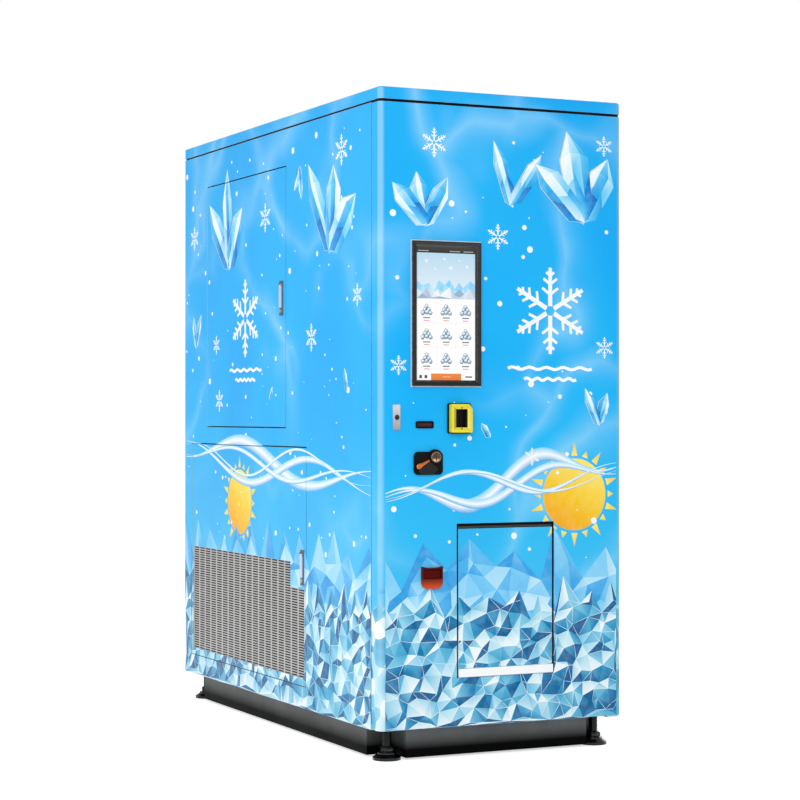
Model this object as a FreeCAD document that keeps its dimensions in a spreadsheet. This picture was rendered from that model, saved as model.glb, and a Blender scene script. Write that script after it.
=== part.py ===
# Free-standing ice vending machine: cabinet, swinging front door, two side hatches,
# payment devices, delivery hatch and the ice-making and refrigerating units inside.
# Millimetres. Floor at z = 0, front face towards -Y, viewer's right is +X.
import FreeCAD
import Part
import Sketcher
import os
import re

V = FreeCAD.Vector

# Driving dimensions
SIZES = {
    "cabinet_width": 848,
    "cabinet_depth": 1722,
    "cabinet_height": 2042,
    "leg_height": 95,
    "sheet_thick": 2,
    "tube_side": 40,
    "tube_wall": 2.5,
    "rail_width": 80,
    "rail_height": 40,
    "mid_rail_height": 30,
    "cap_height": 37,
    "cap_round": 7,
    "roof_gap": 6,
    "roof_inset": 3,
    "corner_radius": 18,
    "door_thick": 55,
    "door_gap": 4,
    "door_clear": 2.5,
    "door_flange": 30,
    "seal_width": 12,
    "seal_inset": 12,
    "pivot_inset": 12,
    "pivot_depth": 31,
    "pivot_radius": 5,
    "pivot_block": 12,
    "run_clear": 0.06,
    "seat_clear": 0.3,
    "foot_inset_x": 60,
    "foot_inset_y": 76,
    "foot_pad_radius": 43.5,
    "foot_pad_rim": 8,
    "foot_pad_height": 24,
    "foot_collar_radius": 29,
    "foot_nut_radius": 20,
    "foot_nut_height": 14,
    "foot_stem_radius": 13.5,
    "kick_inset_x": 24,
    "kick_inset_y": 38,
    "kick_lift": 6,
    "kick_notch_x": 47,
    "kick_notch_y": 68,
    "upper_hatch_front": 736,
    "upper_hatch_rear": 236,
    "upper_hatch_bottom": 1005,
    "upper_hatch_drop": 121,
    "hatch_bridge": 59,
    "lower_hatch_front": 561,
    "lower_hatch_rear": 73,
    "lower_hatch_lift": 68,
    "hatch_gap": 4,
    "hatch_fold": 20,
    "hatch_pivot_inset": 8,
    "hatch_pin_radius": 3,
    "hatch_bracket": 7,
    "handle_width": 28,
    "handle_height": 116,
    "handle_plate": 3,
    "grip_width": 18,
    "grip_thick": 3.5,
    "grip_gap": 0.5,
    "grip_pin": 1.5,
    "latch_radius": 7,
    "upper_handle_inset": 38,
    "upper_handle_rise": 434,
    "lower_handle_inset": 32,
    "lower_handle_drop": 394,
    "grille_front": 16,
    "grille_rear": 21,
    "grille_lift": 29,
    "grille_height": 374,
    "grille_lap": 8,
    "notch_width": 118,
    "notch_height": 84,
    "slot_columns": 18,
    "slot_rows": 44,
    "slot_length": 46,
    "slot_height": 4,
    "filter_thick": 8,
    "display_from_left": 225,
    "display_z": 1358.5,
    "display_width": 234,
    "display_height": 441,
    "display_frame": 17.5,
    "display_proud": 7,
    "display_lip": 4,
    "display_deep": 46,
    "lock_from_left": 56,
    "lock_z": 1042.5,
    "lock_width": 24,
    "lock_height": 77,
    "lock_plate": 5,
    "lock_radius": 7.5,
    "lock_round": 3,
    "cam_reach": 45,
    "latch_reach": 62,
    "cam_width": 15,
    "cam_thick": 5,
    "window_from_left": 151,
    "window_z": 1020,
    "window_width": 60,
    "window_height": 22,
    "window_proud": 4,
    "window_frame": 5.5,
    "reader_from_left": 267,
    "reader_z": 1039.5,
    "reader_width": 78,
    "reader_height": 93,
    "reader_plate": 8,
    "reader_bezel": 18,
    "reader_slot_width": 40,
    "reader_slot_height": 56,
    "reader_deep": 150,
    "reader_rim": 7,
    "reader_step": 2.5,
    "coin_from_left": 162,
    "coin_z": 903,
    "coin_width": 96,
    "coin_height": 70,
    "coin_proud": 8,
    "coin_round": 14,
    "coin_deep": 130,
    "disc_x": 22.5,
    "disc_z": 19,
    "disc_radius": 17,
    "boss_radius": 20,
    "boss_proud": 12,
    "lever_x": 34,
    "lever_z": 9,
    "lever_head": 9,
    "lever_length": 40,
    "lever_slope": 27,
    "cup_from_left": 173.5,
    "cup_z": 556,
    "cup_width": 69,
    "cup_height": 68,
    "cup_proud": 12,
    "cup_deep": 50,
    "cup_wall": 5,
    "cup_side": 4.5,
    "cup_lip": 30,
    "cup_round": 20,
    "cup_sag": 5,
    "cup_arc": 143,
    "flap_x": 7,
    "flap_bottom": 245,
    "flap_width": 340,
    "flap_height": 472,
    "flap_thick": 14,
    "flap_rail_height": 26,
    "flap_rail_proud": 6,
    "jamb": 4,
    "chamber_depth": 378,
    "chamber_wall": 3,
    "chute_width": 130,
    "chute_length": 108,
    "gate_thick": 3,
    "bin_width": 680,
    "bin_length": 860,
    "bin_height": 500,
    "bin_wall": 15,
    "auger_radius": 50,
    "auger_shaft": 12,
    "paddle_count": 14,
    "condenser_height": 400,
    "condenser_length": 640,
    "condenser_thick": 60,
    "fin_count": 32,
    "fan_radius": 140,
    "fan_hub": 28,
    "fan_shaft": 5,
    "blade_count": 5,
    "compressor_radius": 92,
    "compressor_height": 250,
    "spigot_out": 30,
    "inlet_radius": 13,
    "drain_radius": 16,
    "screw_radius": 5,
    "louvre_count": 10,
    "louvre_width": 480,
    "louvre_height": 10,
    "louvre_pitch": 36,
    "louvre_lift": 90,
    "spigot_inset": 184,
    "inlet_lift": 180,
    "drain_lift": 60,
    "mains_lift": 120,
    "mains_width": 48,
    "mains_height": 38,
    "pivot_arm": 30,
    "pivot_edge": 12,
    "pivot_plate": 5,
    "pc_width": 150,
    "pc_deep": 40,
    "motor_flange": 110,
    "motor_radius": 45,
    "motor_length": 150,
    "maker_length": 400,
    "maker_drop": 90,
    "plate_thick": 3,
    "cell_deep": 26,
    "cell_lift": 80,
    "cell_count": 13,
    "trough_height": 60,
    "condenser_lift": 30,
    "condenser_gap": 22,
    "tube_radius": 6,
    "tube_bend": 20,
    "shroud_deep": 30,
    "tip_gap": 6,
    "strut_gap": 10,
    "strut_thick": 4,
    "strut_width": 34,
    "fan_motor_radius": 40,
    "fan_motor_length": 70,
    "compressor_inset_x": 264,
    "compressor_inset_y": 301,
    "control_thick": 90,
    "control_length": 240,
    "control_height": 380,
    "control_drop": 260,
    "control_gap": 19,
    "screw_proud": 2.5,
}

# Places on the front, measured from the left face
PLACES = {
    name + "_x": "(-cabinet_width/2+%s_from_left)" % name
    for name in ("display", "lock", "window", "reader", "coin", "cup")
}

DOC = FreeCAD.newDocument("IceVendor")
SHEET = DOC.addObject("Spreadsheet::Sheet", "Sizes")
for row, (alias, number) in enumerate(SIZES.items(), start=1):
    SHEET.set("A%d" % row, alias)
    SHEET.set("B%d" % row, str(number))
    SHEET.setAlias("B%d" % row, alias)
DOC.recompute()

PARTS = []


# Modelling helpers
def mm(alias):
    """Number that the sheet holds under an alias."""
    return float(SHEET.get(alias))


def linked(text):
    """Expression text with every named place written out and every alias pointed at the sheet."""
    text = re.sub(r"[a-z]\w*", lambda m: PLACES.get(m.group(0), m.group(0)), text)
    return re.sub(r"[a-z]\w*", lambda m: "Sizes." + m.group(0) if m.group(0) in SIZES else m.group(0), text)


def bind(thing, **paths):
    """Bind properties; a double underscore in a name stands for a dot."""
    for path, text in paths.items():
        thing.setExpression(path.replace("__", "."), linked(text))
    return thing


def place(thing, x, y, z):
    return bind(thing, Placement__Base__x=x, Placement__Base__y=y, Placement__Base__z=z)


def box(x, y, z):
    """Block between pairs of expressions on each axis."""
    block = DOC.addObject("Part::Box", "Block")
    bind(block, Length="(%s)-(%s)" % x[::-1], Width="(%s)-(%s)" % y[::-1], Height="(%s)-(%s)" % z[::-1])
    return place(block, x[0], y[0], z[0])


TURNS = {
    "x": FreeCAD.Rotation(V(0, 1, 0), 90),
    "y": FreeCAD.Rotation(V(1, 0, 0), -90),
    "z": FreeCAD.Rotation(),
}


def rod(axis, radius, span, x="0", y="0", z="0"):
    """Cylinder along an axis between two expressions."""
    bar = DOC.addObject("Part::Cylinder", "Rod")
    bar.Placement = FreeCAD.Placement(V(0, 0, 0), TURNS[axis])
    bind(bar, Radius=radius, Height="(%s)-(%s)" % span[::-1])
    at = {"x": x, "y": y, "z": z}
    at[axis] = span[0]
    return place(bar, at["x"], at["y"], at["z"])


def fuse(*shapes):
    union = DOC.addObject("Part::MultiFuse", "Union")
    union.Shapes = list(shapes)
    union.Refine = True
    return union


def cut(base, *tools):
    result = DOC.addObject("Part::Cut", "Cut")
    result.Base = base
    result.Tool = tools[0] if len(tools) == 1 else fuse(*tools)
    return result


def group(*shapes):
    """Separate solids kept side by side in one sub-part."""
    bundle = DOC.addObject("Part::Compound", "Bundle")
    bundle.Links = list(shapes)
    return bundle


def part(label, shape):
    shape.Label = label
    PARTS.append(shape)
    return shape


def side(sign, near, far):
    """Pair of expressions on one side of the middle plane."""
    return (near, far) if sign > 0 else ("-(%s)" % far, "-(%s)" % near)


def around(middle, width):
    return ("(%s)-(%s)/2" % (middle, width), "(%s)+(%s)/2" % (middle, width))


def grown(pair, by):
    return ("(%s)-(%s)" % (pair[0], by), "(%s)+(%s)" % (pair[1], by))


def tube(axis, x, y, z):
    """Square tube open at both ends."""
    inner = {"x": x, "y": y, "z": z}
    for name in inner:
        inner[name] = grown(inner[name], "1" if name == axis else "-tube_wall")
    return cut(box(x, y, z), box(inner["x"], inner["y"], inner["z"]))


def front_rounded(x, y, z, radius):
    """Block whose two front vertical edges are rounded."""
    near = "(%s)+(%s)" % (y[0], radius)
    inner = grown(x, "-(%s)" % radius)
    return fuse(
        box(x, (near, y[1]), z),
        box(inner, y, z),
        rod("z", radius, z, x=inner[0], y=near),
        rod("z", radius, z, x=inner[1], y=near),
    )


def round_edges(base, radius, wanted):
    """Fillet on the edges of a finished shape that a test picks."""
    DOC.recompute()
    rounded = DOC.addObject("Part::Fillet", "Rounded")
    rounded.Base = base
    chosen = [n for n, edge in enumerate(base.Shape.Edges, start=1) if wanted(edge)]
    rounded.Edges = [(n, radius, radius) for n in chosen]
    return rounded


def body_named(label):
    body = DOC.addObject("PartDesign::Body", "Body")
    body.Label = label
    return body


def sketch_on(body, role):
    sketch = body.newObject("Sketcher::SketchObject", "Sketch")
    plane = [f for f in body.Origin.OriginFeatures if f.Role == role][0]
    sketch.AttachmentSupport = [(plane, "")]
    sketch.MapMode = "FlatFace"
    return sketch


def draw_rectangle(sketch, width, height):
    """Rectangle centred on the sketch origin with bound sides."""
    corners = [V(-5, -5, 0), V(5, -5, 0), V(5, 5, 0), V(-5, 5, 0)]
    for n in range(4):
        sketch.addGeometry(Part.LineSegment(corners[n], corners[(n + 1) % 4]))
    for n in range(4):
        sketch.addConstraint(Sketcher.Constraint("Coincident", n, 2, (n + 1) % 4, 1))
    for n in (0, 2):
        sketch.addConstraint(Sketcher.Constraint("Horizontal", n))
        sketch.addConstraint(Sketcher.Constraint("Vertical", n + 1))
    sketch.addConstraint(Sketcher.Constraint("Symmetric", 0, 1, 1, 2, -1, 1))
    for name, kind, line, text in (("wide", "DistanceX", 0, width), ("tall", "DistanceY", 1, height)):
        number = sketch.addConstraint(Sketcher.Constraint(kind, line, 1, line, 2, 10))
        sketch.renameConstraint(number, name)
        sketch.setExpression("Constraints." + name, linked(text))


def draw_profile(sketch, points):
    """Closed outline whose corners are bound one by one; no corner lies below zero."""
    count = len(points)
    start = [V(10.0 + n, 10.0 + n * n, 0) for n in range(count)]
    for n in range(count):
        sketch.addGeometry(Part.LineSegment(start[n], start[(n + 1) % count]))
    for n in range(count):
        sketch.addConstraint(Sketcher.Constraint("Coincident", n, 2, (n + 1) % count, 1))
    for n, point in enumerate(points):
        for kind, axis, text in (("DistanceX", -2, point[0]), ("DistanceY", -1, point[1])):
            if text == "0":
                sketch.addConstraint(Sketcher.Constraint("PointOnObject", n, 1, axis))
                continue
            number = sketch.addConstraint(Sketcher.Constraint(kind, -1, 1, n, 1, 10))
            name = "%s%s" % ("across" if axis == -2 else "up", "abcdefghijklmnop"[n])
            sketch.renameConstraint(number, name)
            sketch.setExpression("Constraints." + name, linked(text))


def pad(body, sketch, length):
    feature = body.newObject("PartDesign::Pad", "Pad")
    feature.Profile = sketch
    sketch.Visibility = False
    return bind(feature, Length=length)


def pocket(body, sketch, length):
    """Pocket that runs back through the pad drawn on the same plane."""
    feature = body.newObject("PartDesign::Pocket", "Pocket")
    feature.Profile = sketch
    feature.Reversed = True
    return bind(feature, Length=length)


def soften(body, feature, radius, wanted, kind="Fillet"):
    """Fillet or chamfer on the picked edges of the last feature."""
    DOC.recompute()
    dressed = body.newObject("PartDesign::" + kind, kind)
    names = ["Edge%d" % n for n, edge in enumerate(feature.Shape.Edges, start=1) if wanted(edge)]
    dressed.Base = (feature, names)
    return bind(dressed, **{"Radius" if kind == "Fillet" else "Size": radius})


def runs_along(edge, axis):
    ends = edge.Vertexes
    if len(ends) != 2:
        return False
    step = ends[1].Point - ends[0].Point
    return abs(abs(step.dot(axis)) - step.Length) < 1e-6


def plate_body(label, width, height, thick, radius, x, y, z):
    """Front plate with rounded corners; its back lies at y and it stands out towards the front."""
    body = body_named(label)
    sketch = sketch_on(body, "XZ_Plane")
    draw_rectangle(sketch, width, height)
    solid = pad(body, sketch, thick)
    soften(body, solid, radius, lambda edge: runs_along(edge, V(0, 1, 0)))
    return place(body, x, y, z)


# Main planes
LEFT = "(-cabinet_width/2)"
RIGHT = "(cabinet_width/2)"
FRONT = "(-cabinet_depth/2)"
REAR = "(cabinet_depth/2)"
INNER = "(cabinet_width/2-sheet_thick)"
POST = "(cabinet_width/2-sheet_thick-tube_side)"
RAIL = "(cabinet_width/2-sheet_thick-rail_width)"
BODY_FRONT = "(-cabinet_depth/2+door_thick+door_gap)"
DOOR_BACK = "(-cabinet_depth/2+door_thick)"
SKIN_BACK = "(-cabinet_depth/2+sheet_thick)"
BODY_REAR = "(cabinet_depth/2-sheet_thick)"
RAIL_TOP = "(leg_height+rail_height)"
DECK = "(leg_height+rail_height+sheet_thick)"
BODY_TOP = "(cabinet_height-cap_height-roof_gap)"
ROOF_TOP = "(cabinet_height-cap_height)"
MID = "(upper_hatch_bottom-hatch_bridge/2)"
MID_TOP = "(upper_hatch_bottom-hatch_bridge/2+mid_rail_height/2)"
WIDE = (LEFT, RIGHT)
FAN_Y = "((lower_hatch_front+grille_front-lower_hatch_rear-grille_rear)/2)"
DEEP_INNER = (BODY_FRONT, BODY_REAR)

# Welded tube frame
tubes = []
for sign in (-1, 1):
    edge = side(sign, POST, INNER)
    tubes.append(tube("y", side(sign, RAIL, INNER), DEEP_INNER, ("leg_height", RAIL_TOP)))
    tubes.append(tube("y", edge, DEEP_INNER, (BODY_TOP + "-tube_side", BODY_TOP)))
    tubes.append(tube("y", edge, (BODY_FRONT + "+tube_side", BODY_REAR + "-tube_side"),
                      around(MID, "mid_rail_height")))
    for y in ((BODY_FRONT, BODY_FRONT + "+tube_side"), (BODY_REAR + "-tube_side", BODY_REAR)):
        tubes.append(tube("z", edge, y, (RAIL_TOP, BODY_TOP + "-tube_side")))
for near, far in ((BODY_FRONT, "+"), (BODY_REAR, "-")):
    for half, width, low, high in (
        (RAIL, "rail_width", "leg_height", RAIL_TOP),
        (POST, "tube_side", BODY_TOP + "-tube_side", BODY_TOP),
    ):
        span = (near, near + "+" + width) if far == "+" else (near + "-" + width, near)
        tubes.append(tube("x", ("-" + half, half), span, (low, high)))
CHAMBER_BACK = "(-cabinet_depth/2+door_thick+door_gap+4+chamber_depth)"
BIN_FRONT = "(-cabinet_depth/2+door_thick+door_gap+4+chamber_depth-chute_length-30)"
BIN_REAR = "(-cabinet_depth/2+door_thick+door_gap+4+chamber_depth-chute_length-30+bin_length)"
for place_y in (CHAMBER_BACK + "+tube_side", BIN_FRONT + "+bin_length*0.6", BIN_REAR + "-tube_side"):
    tubes.append(tube("x", ("-" + POST, POST), around(place_y, "tube_side"), around(MID, "mid_rail_height")))
part("tube_frame", group(*tubes))

# Levelling feet
foot = body_named("foot_shape")
profile = sketch_on(foot, "XZ_Plane")
draw_profile(profile, (
    ("0", "0"),
    ("foot_pad_radius", "0"),
    ("foot_pad_radius", "foot_pad_rim"),
    ("foot_collar_radius", "foot_pad_height-6"),
    ("foot_collar_radius", "foot_pad_height-2"),
    ("foot_nut_radius", "foot_pad_height"),
    ("foot_nut_radius", "foot_pad_height+foot_nut_height"),
    ("foot_stem_radius", "foot_pad_height+foot_nut_height+4"),
    ("foot_stem_radius", "leg_height"),
    ("0", "leg_height"),
))
turned = foot.newObject("PartDesign::Revolution", "Revolution")
turned.Profile = profile
turned.ReferenceAxis = (profile, ["V_Axis"])
turned.Angle = 360
place(foot, "cabinet_width/2-foot_inset_x", FRONT + "+foot_inset_y", "0")
feet = [foot]
for normal in (V(1, 0, 0), V(0, 1, 0)):
    for source in list(feet):
        twin = DOC.addObject("Part::Mirroring", "Twin")
        twin.Source = source
        twin.Normal = normal
        feet.append(twin)
part("levelling_feet", group(*feet))

# Kick plates set in from the edges of the base, stepped back behind each foot
KICK_X = "(cabinet_width/2-kick_inset_x)"
KICK_Y = "(cabinet_depth/2-kick_inset_y)"
STEP_X = "(cabinet_width/2-foot_inset_x-kick_notch_x)"
STEP_Y = "(cabinet_depth/2-foot_inset_y-kick_notch_y)"
KICK_Z = ("kick_lift", "leg_height")
LEDGE_Z = ("leg_height-sheet_thick", "leg_height")
kicks = []
for sign in (-1, 1):
    kicks.append(box(side(sign, KICK_X + "-sheet_thick", KICK_X), ("-" + STEP_Y, STEP_Y), KICK_Z))
    kicks.append(box(("-" + STEP_X, STEP_X), side(sign, KICK_Y + "-sheet_thick", KICK_Y), KICK_Z))
    kicks.append(box(side(sign, RAIL + "+15", KICK_X), ("-" + STEP_Y + "+20", STEP_Y + "-20"), LEDGE_Z))
    for other in (-1, 1):
        kicks.append(box(side(sign, STEP_X + "-sheet_thick", KICK_X),
                         side(other, STEP_Y + "-sheet_thick", STEP_Y), KICK_Z))
        kicks.append(box(side(sign, STEP_X + "-sheet_thick", STEP_X),
                         side(other, STEP_Y + "-sheet_thick", KICK_Y), KICK_Z))
part("kick_plates", fuse(*kicks))
part("floor_deck",
     box(("-" + POST, POST), (BODY_FRONT + "+tube_side", BODY_REAR + "-tube_side"), (RAIL_TOP, DECK)))

# Outer panels
UPPER_Y = (FRONT + "+upper_hatch_front", REAR + "-upper_hatch_rear")
UPPER_Z = ("upper_hatch_bottom", BODY_TOP + "-upper_hatch_drop")
LOWER_Y = (FRONT + "+lower_hatch_front", REAR + "-lower_hatch_rear")
LOWER_Z = ("leg_height+lower_hatch_lift", "upper_hatch_bottom-hatch_bridge")
LEFT_SHEET = (LEFT, LEFT + "+sheet_thick")
WALL_Z = ("leg_height", BODY_TOP)
part("left_panel", cut(
    box(LEFT_SHEET, (BODY_FRONT, REAR), WALL_Z),
    box(grown(LEFT_SHEET, "1"), UPPER_Y, UPPER_Z),
    box(grown(LEFT_SHEET, "1"), LOWER_Y, LOWER_Z),
))
RIGHT_SHEET = (INNER, RIGHT)
louvres = []
for step in range(int(mm("louvre_count"))):
    low = DECK + "+louvre_lift+%d*louvre_pitch" % step
    louvres.append(box(grown(RIGHT_SHEET, "1"), around(FAN_Y, "louvre_width"), (low, low + "+louvre_height")))
part("right_panel", cut(box(RIGHT_SHEET, (BODY_FRONT, REAR), WALL_Z), *louvres))
INLET = {"x": "cabinet_width/2-spigot_inset", "z": DECK + "+inlet_lift"}
DRAIN = {"x": "cabinet_width/2-spigot_inset", "z": DECK + "+drain_lift"}
MAINS = {"x": "spigot_inset-cabinet_width/2", "z": DECK + "+mains_lift"}
part("rear_panel", cut(
    box(("-" + INNER, INNER), (BODY_REAR, REAR), WALL_Z),
    rod("y", "inlet_radius+seat_clear", (BODY_REAR + "-1", REAR + "+1"), **INLET),
    rod("y", "drain_radius+seat_clear", (BODY_REAR + "-1", REAR + "+1"), **DRAIN),
    box(around(MAINS["x"], "mains_width"), (BODY_REAR + "-1", REAR + "+1"),
        around(MAINS["z"], "mains_height")),
))
ROOF_X = ("-cabinet_width/2+roof_inset", "cabinet_width/2-roof_inset")
ROOF_Y = (FRONT + "+roof_inset", REAR + "-roof_inset")
part("roof_plate", front_rounded(ROOF_X, ROOF_Y, (BODY_TOP, ROOF_TOP), "(corner_radius-roof_inset)"))
CAP_Z = (ROOF_TOP, "cabinet_height")
CAP_HOLLOW_Z = grown(CAP_Z, "-sheet_thick")


def top_edges(level):
    """Test for the edges that lie in the plane at one height."""
    return lambda edge: abs(edge.BoundBox.ZMin - level) < 1e-6 and abs(edge.BoundBox.ZMax - level) < 1e-6


part("top_cap", cut(
    round_edges(front_rounded(WIDE, (FRONT, REAR), CAP_Z, "corner_radius"), mm("cap_round"),
                top_edges(mm("cabinet_height"))),
    round_edges(front_rounded(grown(WIDE, "-sheet_thick"), (FRONT + "+sheet_thick", REAR + "-sheet_thick"),
                              CAP_HOLLOW_Z, "(corner_radius-sheet_thick)"),
                mm("cap_round") - mm("sheet_thick"), top_edges(mm("cabinet_height") - mm("sheet_thick"))),
    box(grown(WIDE, "-door_flange"), (FRONT + "+door_flange", REAR + "-door_flange"),
        (ROOF_TOP + "-1", ROOF_TOP + "+sheet_thick+1")),
))

# Front door pivots, fixed to roof plate and base
DOOR_Z = ("leg_height+door_clear", BODY_TOP + "-door_clear")
PIVOT_X = "(cabinet_width/2-pivot_inset)"
PIVOT_Y = "(-cabinet_depth/2+pivot_depth)"
part("door_pivots", group(
    rod("z", "pivot_radius", (DOOR_Z[1] + "-pivot_block-sheet_thick", BODY_TOP), x=PIVOT_X, y=PIVOT_Y),
    fuse(
        box((PIVOT_X + "-pivot_arm", INNER), (PIVOT_Y + "-pivot_edge", BODY_FRONT + "+rail_width"),
            ("leg_height-pivot_plate", "leg_height")),
        rod("z", "pivot_radius", ("leg_height-pivot_plate", DOOR_Z[0] + "+pivot_block+sheet_thick"),
            x=PIVOT_X, y=PIVOT_Y),
    ),
))

# Front door shell
DOOR_INNER_Z = grown(DOOR_Z, "-sheet_thick")
blank = cut(
    front_rounded(WIDE, (FRONT, DOOR_BACK), DOOR_Z, "corner_radius"),
    front_rounded(grown(WIDE, "-sheet_thick"), (SKIN_BACK, DOOR_BACK + "-sheet_thick"), DOOR_INNER_Z,
                  "(corner_radius-sheet_thick)"),
    box(grown(WIDE, "-door_flange"), (DOOR_BACK + "-sheet_thick-1", DOOR_BACK + "+1"),
        grown(DOOR_Z, "-door_flange")),
)
THROUGH = (FRONT + "-1", SKIN_BACK + "+1")
blocks = []
for z in ((DOOR_INNER_Z[0], DOOR_INNER_Z[0] + "+pivot_block"),
          (DOOR_INNER_Z[1] + "-pivot_block", DOOR_INNER_Z[1])):
    blocks.append(box((PIVOT_X + "-2*pivot_edge", "cabinet_width/2-sheet_thick"),
                      (SKIN_BACK + "+corner_radius-sheet_thick", DOOR_BACK + "-sheet_thick"), z))
OPEN_X = around("flap_x", "flap_width")
OPEN_Z = ("flap_bottom", "flap_bottom+flap_height")
part("door_shell", cut(
    fuse(blank, *blocks),
    rod("z", "pivot_radius+run_clear", (DOOR_Z[0] + "-1", DOOR_INNER_Z[0] + "+pivot_block+1"), x=PIVOT_X,
        y=PIVOT_Y),
    rod("z", "pivot_radius+run_clear", (DOOR_INNER_Z[1] + "-pivot_block-1", DOOR_Z[1] + "+1"), x=PIVOT_X,
        y=PIVOT_Y),
    box(around("display_x", "display_width-2*display_frame+2*display_lip+4"), THROUGH,
        around("display_z", "display_height-2*display_frame+2*display_lip+4")),
    rod("y", "lock_radius+run_clear", THROUGH, x="lock_x", z="lock_z"),
    box(around("window_x", "window_width-2*window_frame+2"), THROUGH,
        around("window_z", "window_height-2*window_frame+2")),
    box(around("reader_x", "reader_width-12"), THROUGH, around("reader_z", "reader_height-12")),
    box(around("coin_x", "coin_width-16"), THROUGH, around("coin_z", "coin_height-16")),
    box(around("cup_x", "cup_width-8"), THROUGH, ("cup_z-cup_height/2+11", "cup_z+cup_height/2-7")),
    box(OPEN_X, THROUGH, OPEN_Z),
))
SEAL_Y = (DOOR_BACK, BODY_FRONT + "-seat_clear")
SEAL_Z = grown(DOOR_Z, "-seal_inset")
seals = []
for sign in (-1, 1):
    seals.append(box(side(sign, "cabinet_width/2-seal_inset-seal_width", "cabinet_width/2-seal_inset"),
                     SEAL_Y, SEAL_Z))
for z in ((SEAL_Z[0], SEAL_Z[0] + "+seal_width"), (SEAL_Z[1] + "-seal_width", SEAL_Z[1])):
    seals.append(box(grown(WIDE, "-(seal_inset+seal_width)"), SEAL_Y, z))
part("door_seal", group(*seals))

# Portrait display
bezel = body_named("display_bezel")
outline = sketch_on(bezel, "XZ_Plane")
draw_rectangle(outline, "display_width", "display_height")
frame_pad = pad(bezel, outline, "display_proud")
screen = sketch_on(bezel, "XZ_Plane")
draw_rectangle(screen, "display_width-2*display_frame", "display_height-2*display_frame")
screen_cut = pocket(bezel, screen, "display_proud+1")
proud = -mm("display_proud")
half = mm("display_width") / 2 - mm("display_frame")
tall = mm("display_height") / 2 - mm("display_frame")
soften(bezel, screen_cut, "display_proud-2", lambda edge: abs(edge.CenterOfMass.y - proud) < 1e-6
       and abs(edge.CenterOfMass.x) < half + 1e-3 and abs(edge.CenterOfMass.z) < tall + 1e-3, "Chamfer")
place(bezel, "display_x", FRONT, "display_z")
PARTS.append(bezel)
part("display_unit", fuse(
    box(around("display_x", "display_width-2*display_frame+2*display_lip"), (FRONT, FRONT + "+display_deep"),
        around("display_z", "display_height-2*display_frame+2*display_lip")),
    box(around("display_x", "pc_width"), (FRONT + "+display_deep", FRONT + "+display_deep+pc_deep"),
        around("display_z", "display_height*0.6")),
))

# Front lock
lock_face = plate_body("lock_face", "lock_width", "lock_height", "lock_plate", "lock_round",
                       "lock_x", FRONT, "lock_z")
part("lock_plate", cut(lock_face, rod("y", "lock_radius+run_clear", (FRONT + "-lock_plate-1", FRONT + "+1"),
                                      x="lock_x", z="lock_z")))
CAM_Y = BODY_FRONT + "+tube_side+5"
part("lock_barrel", cut(
    fuse(
        rod("y", "lock_radius", (FRONT + "-lock_plate-3", FRONT + "+30"), x="lock_x", z="lock_z"),
        rod("y", "lock_radius-3", (FRONT + "+30", CAM_Y), x="lock_x", z="lock_z"),
        box(around("lock_x", "cam_width"), (CAM_Y, CAM_Y + "+cam_thick"),
            ("lock_z-cam_reach", "lock_z+cam_width/2")),
    ),
    box(around("lock_x", "2.4"), (FRONT + "-lock_plate-4", FRONT), around("lock_z", "lock_radius")),
))

# Credit window
window = body_named("window_bezel")
window_outline = sketch_on(window, "XZ_Plane")
draw_rectangle(window_outline, "window_width", "window_height")
window_pad = pad(window, window_outline, "window_proud")
soften(window, window_pad, "window_frame", lambda edge: runs_along(edge, V(0, 1, 0)))
window_hole = sketch_on(window, "XZ_Plane")
draw_rectangle(window_hole, "window_width-2*window_frame", "window_height-2*window_frame")
pocket(window, window_hole, "window_proud+1")
place(window, "window_x", FRONT, "window_z")
PARTS.append(window)
part("window_lens", fuse(
    box(around("window_x", "window_width-2*window_frame-0.4"), (FRONT + "-window_proud+1.5", SKIN_BACK),
        around("window_z", "window_height-2*window_frame-0.4")),
    box(around("window_x", "window_width-2"), (SKIN_BACK, SKIN_BACK + "+3"),
        around("window_z", "window_height-2")),
))

# Bill and card reader
part("bill_unit", fuse(
    plate_body("reader_base", "reader_width", "reader_height", "reader_plate", "6", "reader_x", FRONT,
               "reader_z"),
    box(around("reader_x", "reader_width-14"), (FRONT, FRONT + "+reader_deep"),
        around("reader_z", "reader_height-14")),
    box(around("reader_x", "reader_width+6"), (SKIN_BACK, SKIN_BACK + "+12"),
        around("reader_z", "reader_height+6")),
))
reader = body_named("reader_frame")
reader_outline = sketch_on(reader, "XZ_Plane")
draw_profile(reader_outline, (
    ("0", "0"),
    ("reader_width-6", "0"),
    ("reader_width-6", "reader_height-22"),
    ("reader_width-18", "reader_height-6"),
    ("0", "reader_height-6"),
))
reader_pad = pad(reader, reader_outline, "reader_bezel")
soften(reader, reader_pad, "4", lambda edge: runs_along(edge, V(0, 1, 0)))
place(reader, "reader_x-reader_width/2+3", FRONT + "-reader_plate", "reader_z-reader_height/2+3")
READER_FACE = FRONT + "-reader_plate-reader_bezel"
part("reader_bezel", cut(
    reader,
    box(around("reader_x", "reader_slot_width"), (READER_FACE + "-1", FRONT + "-reader_plate+1"),
        around("reader_z", "reader_slot_height")),
    box(around("reader_x", "reader_slot_width+2*reader_rim"),
        (READER_FACE + "-1", READER_FACE + "+reader_step"),
        around("reader_z", "reader_slot_height+2*reader_rim")),
))

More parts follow.
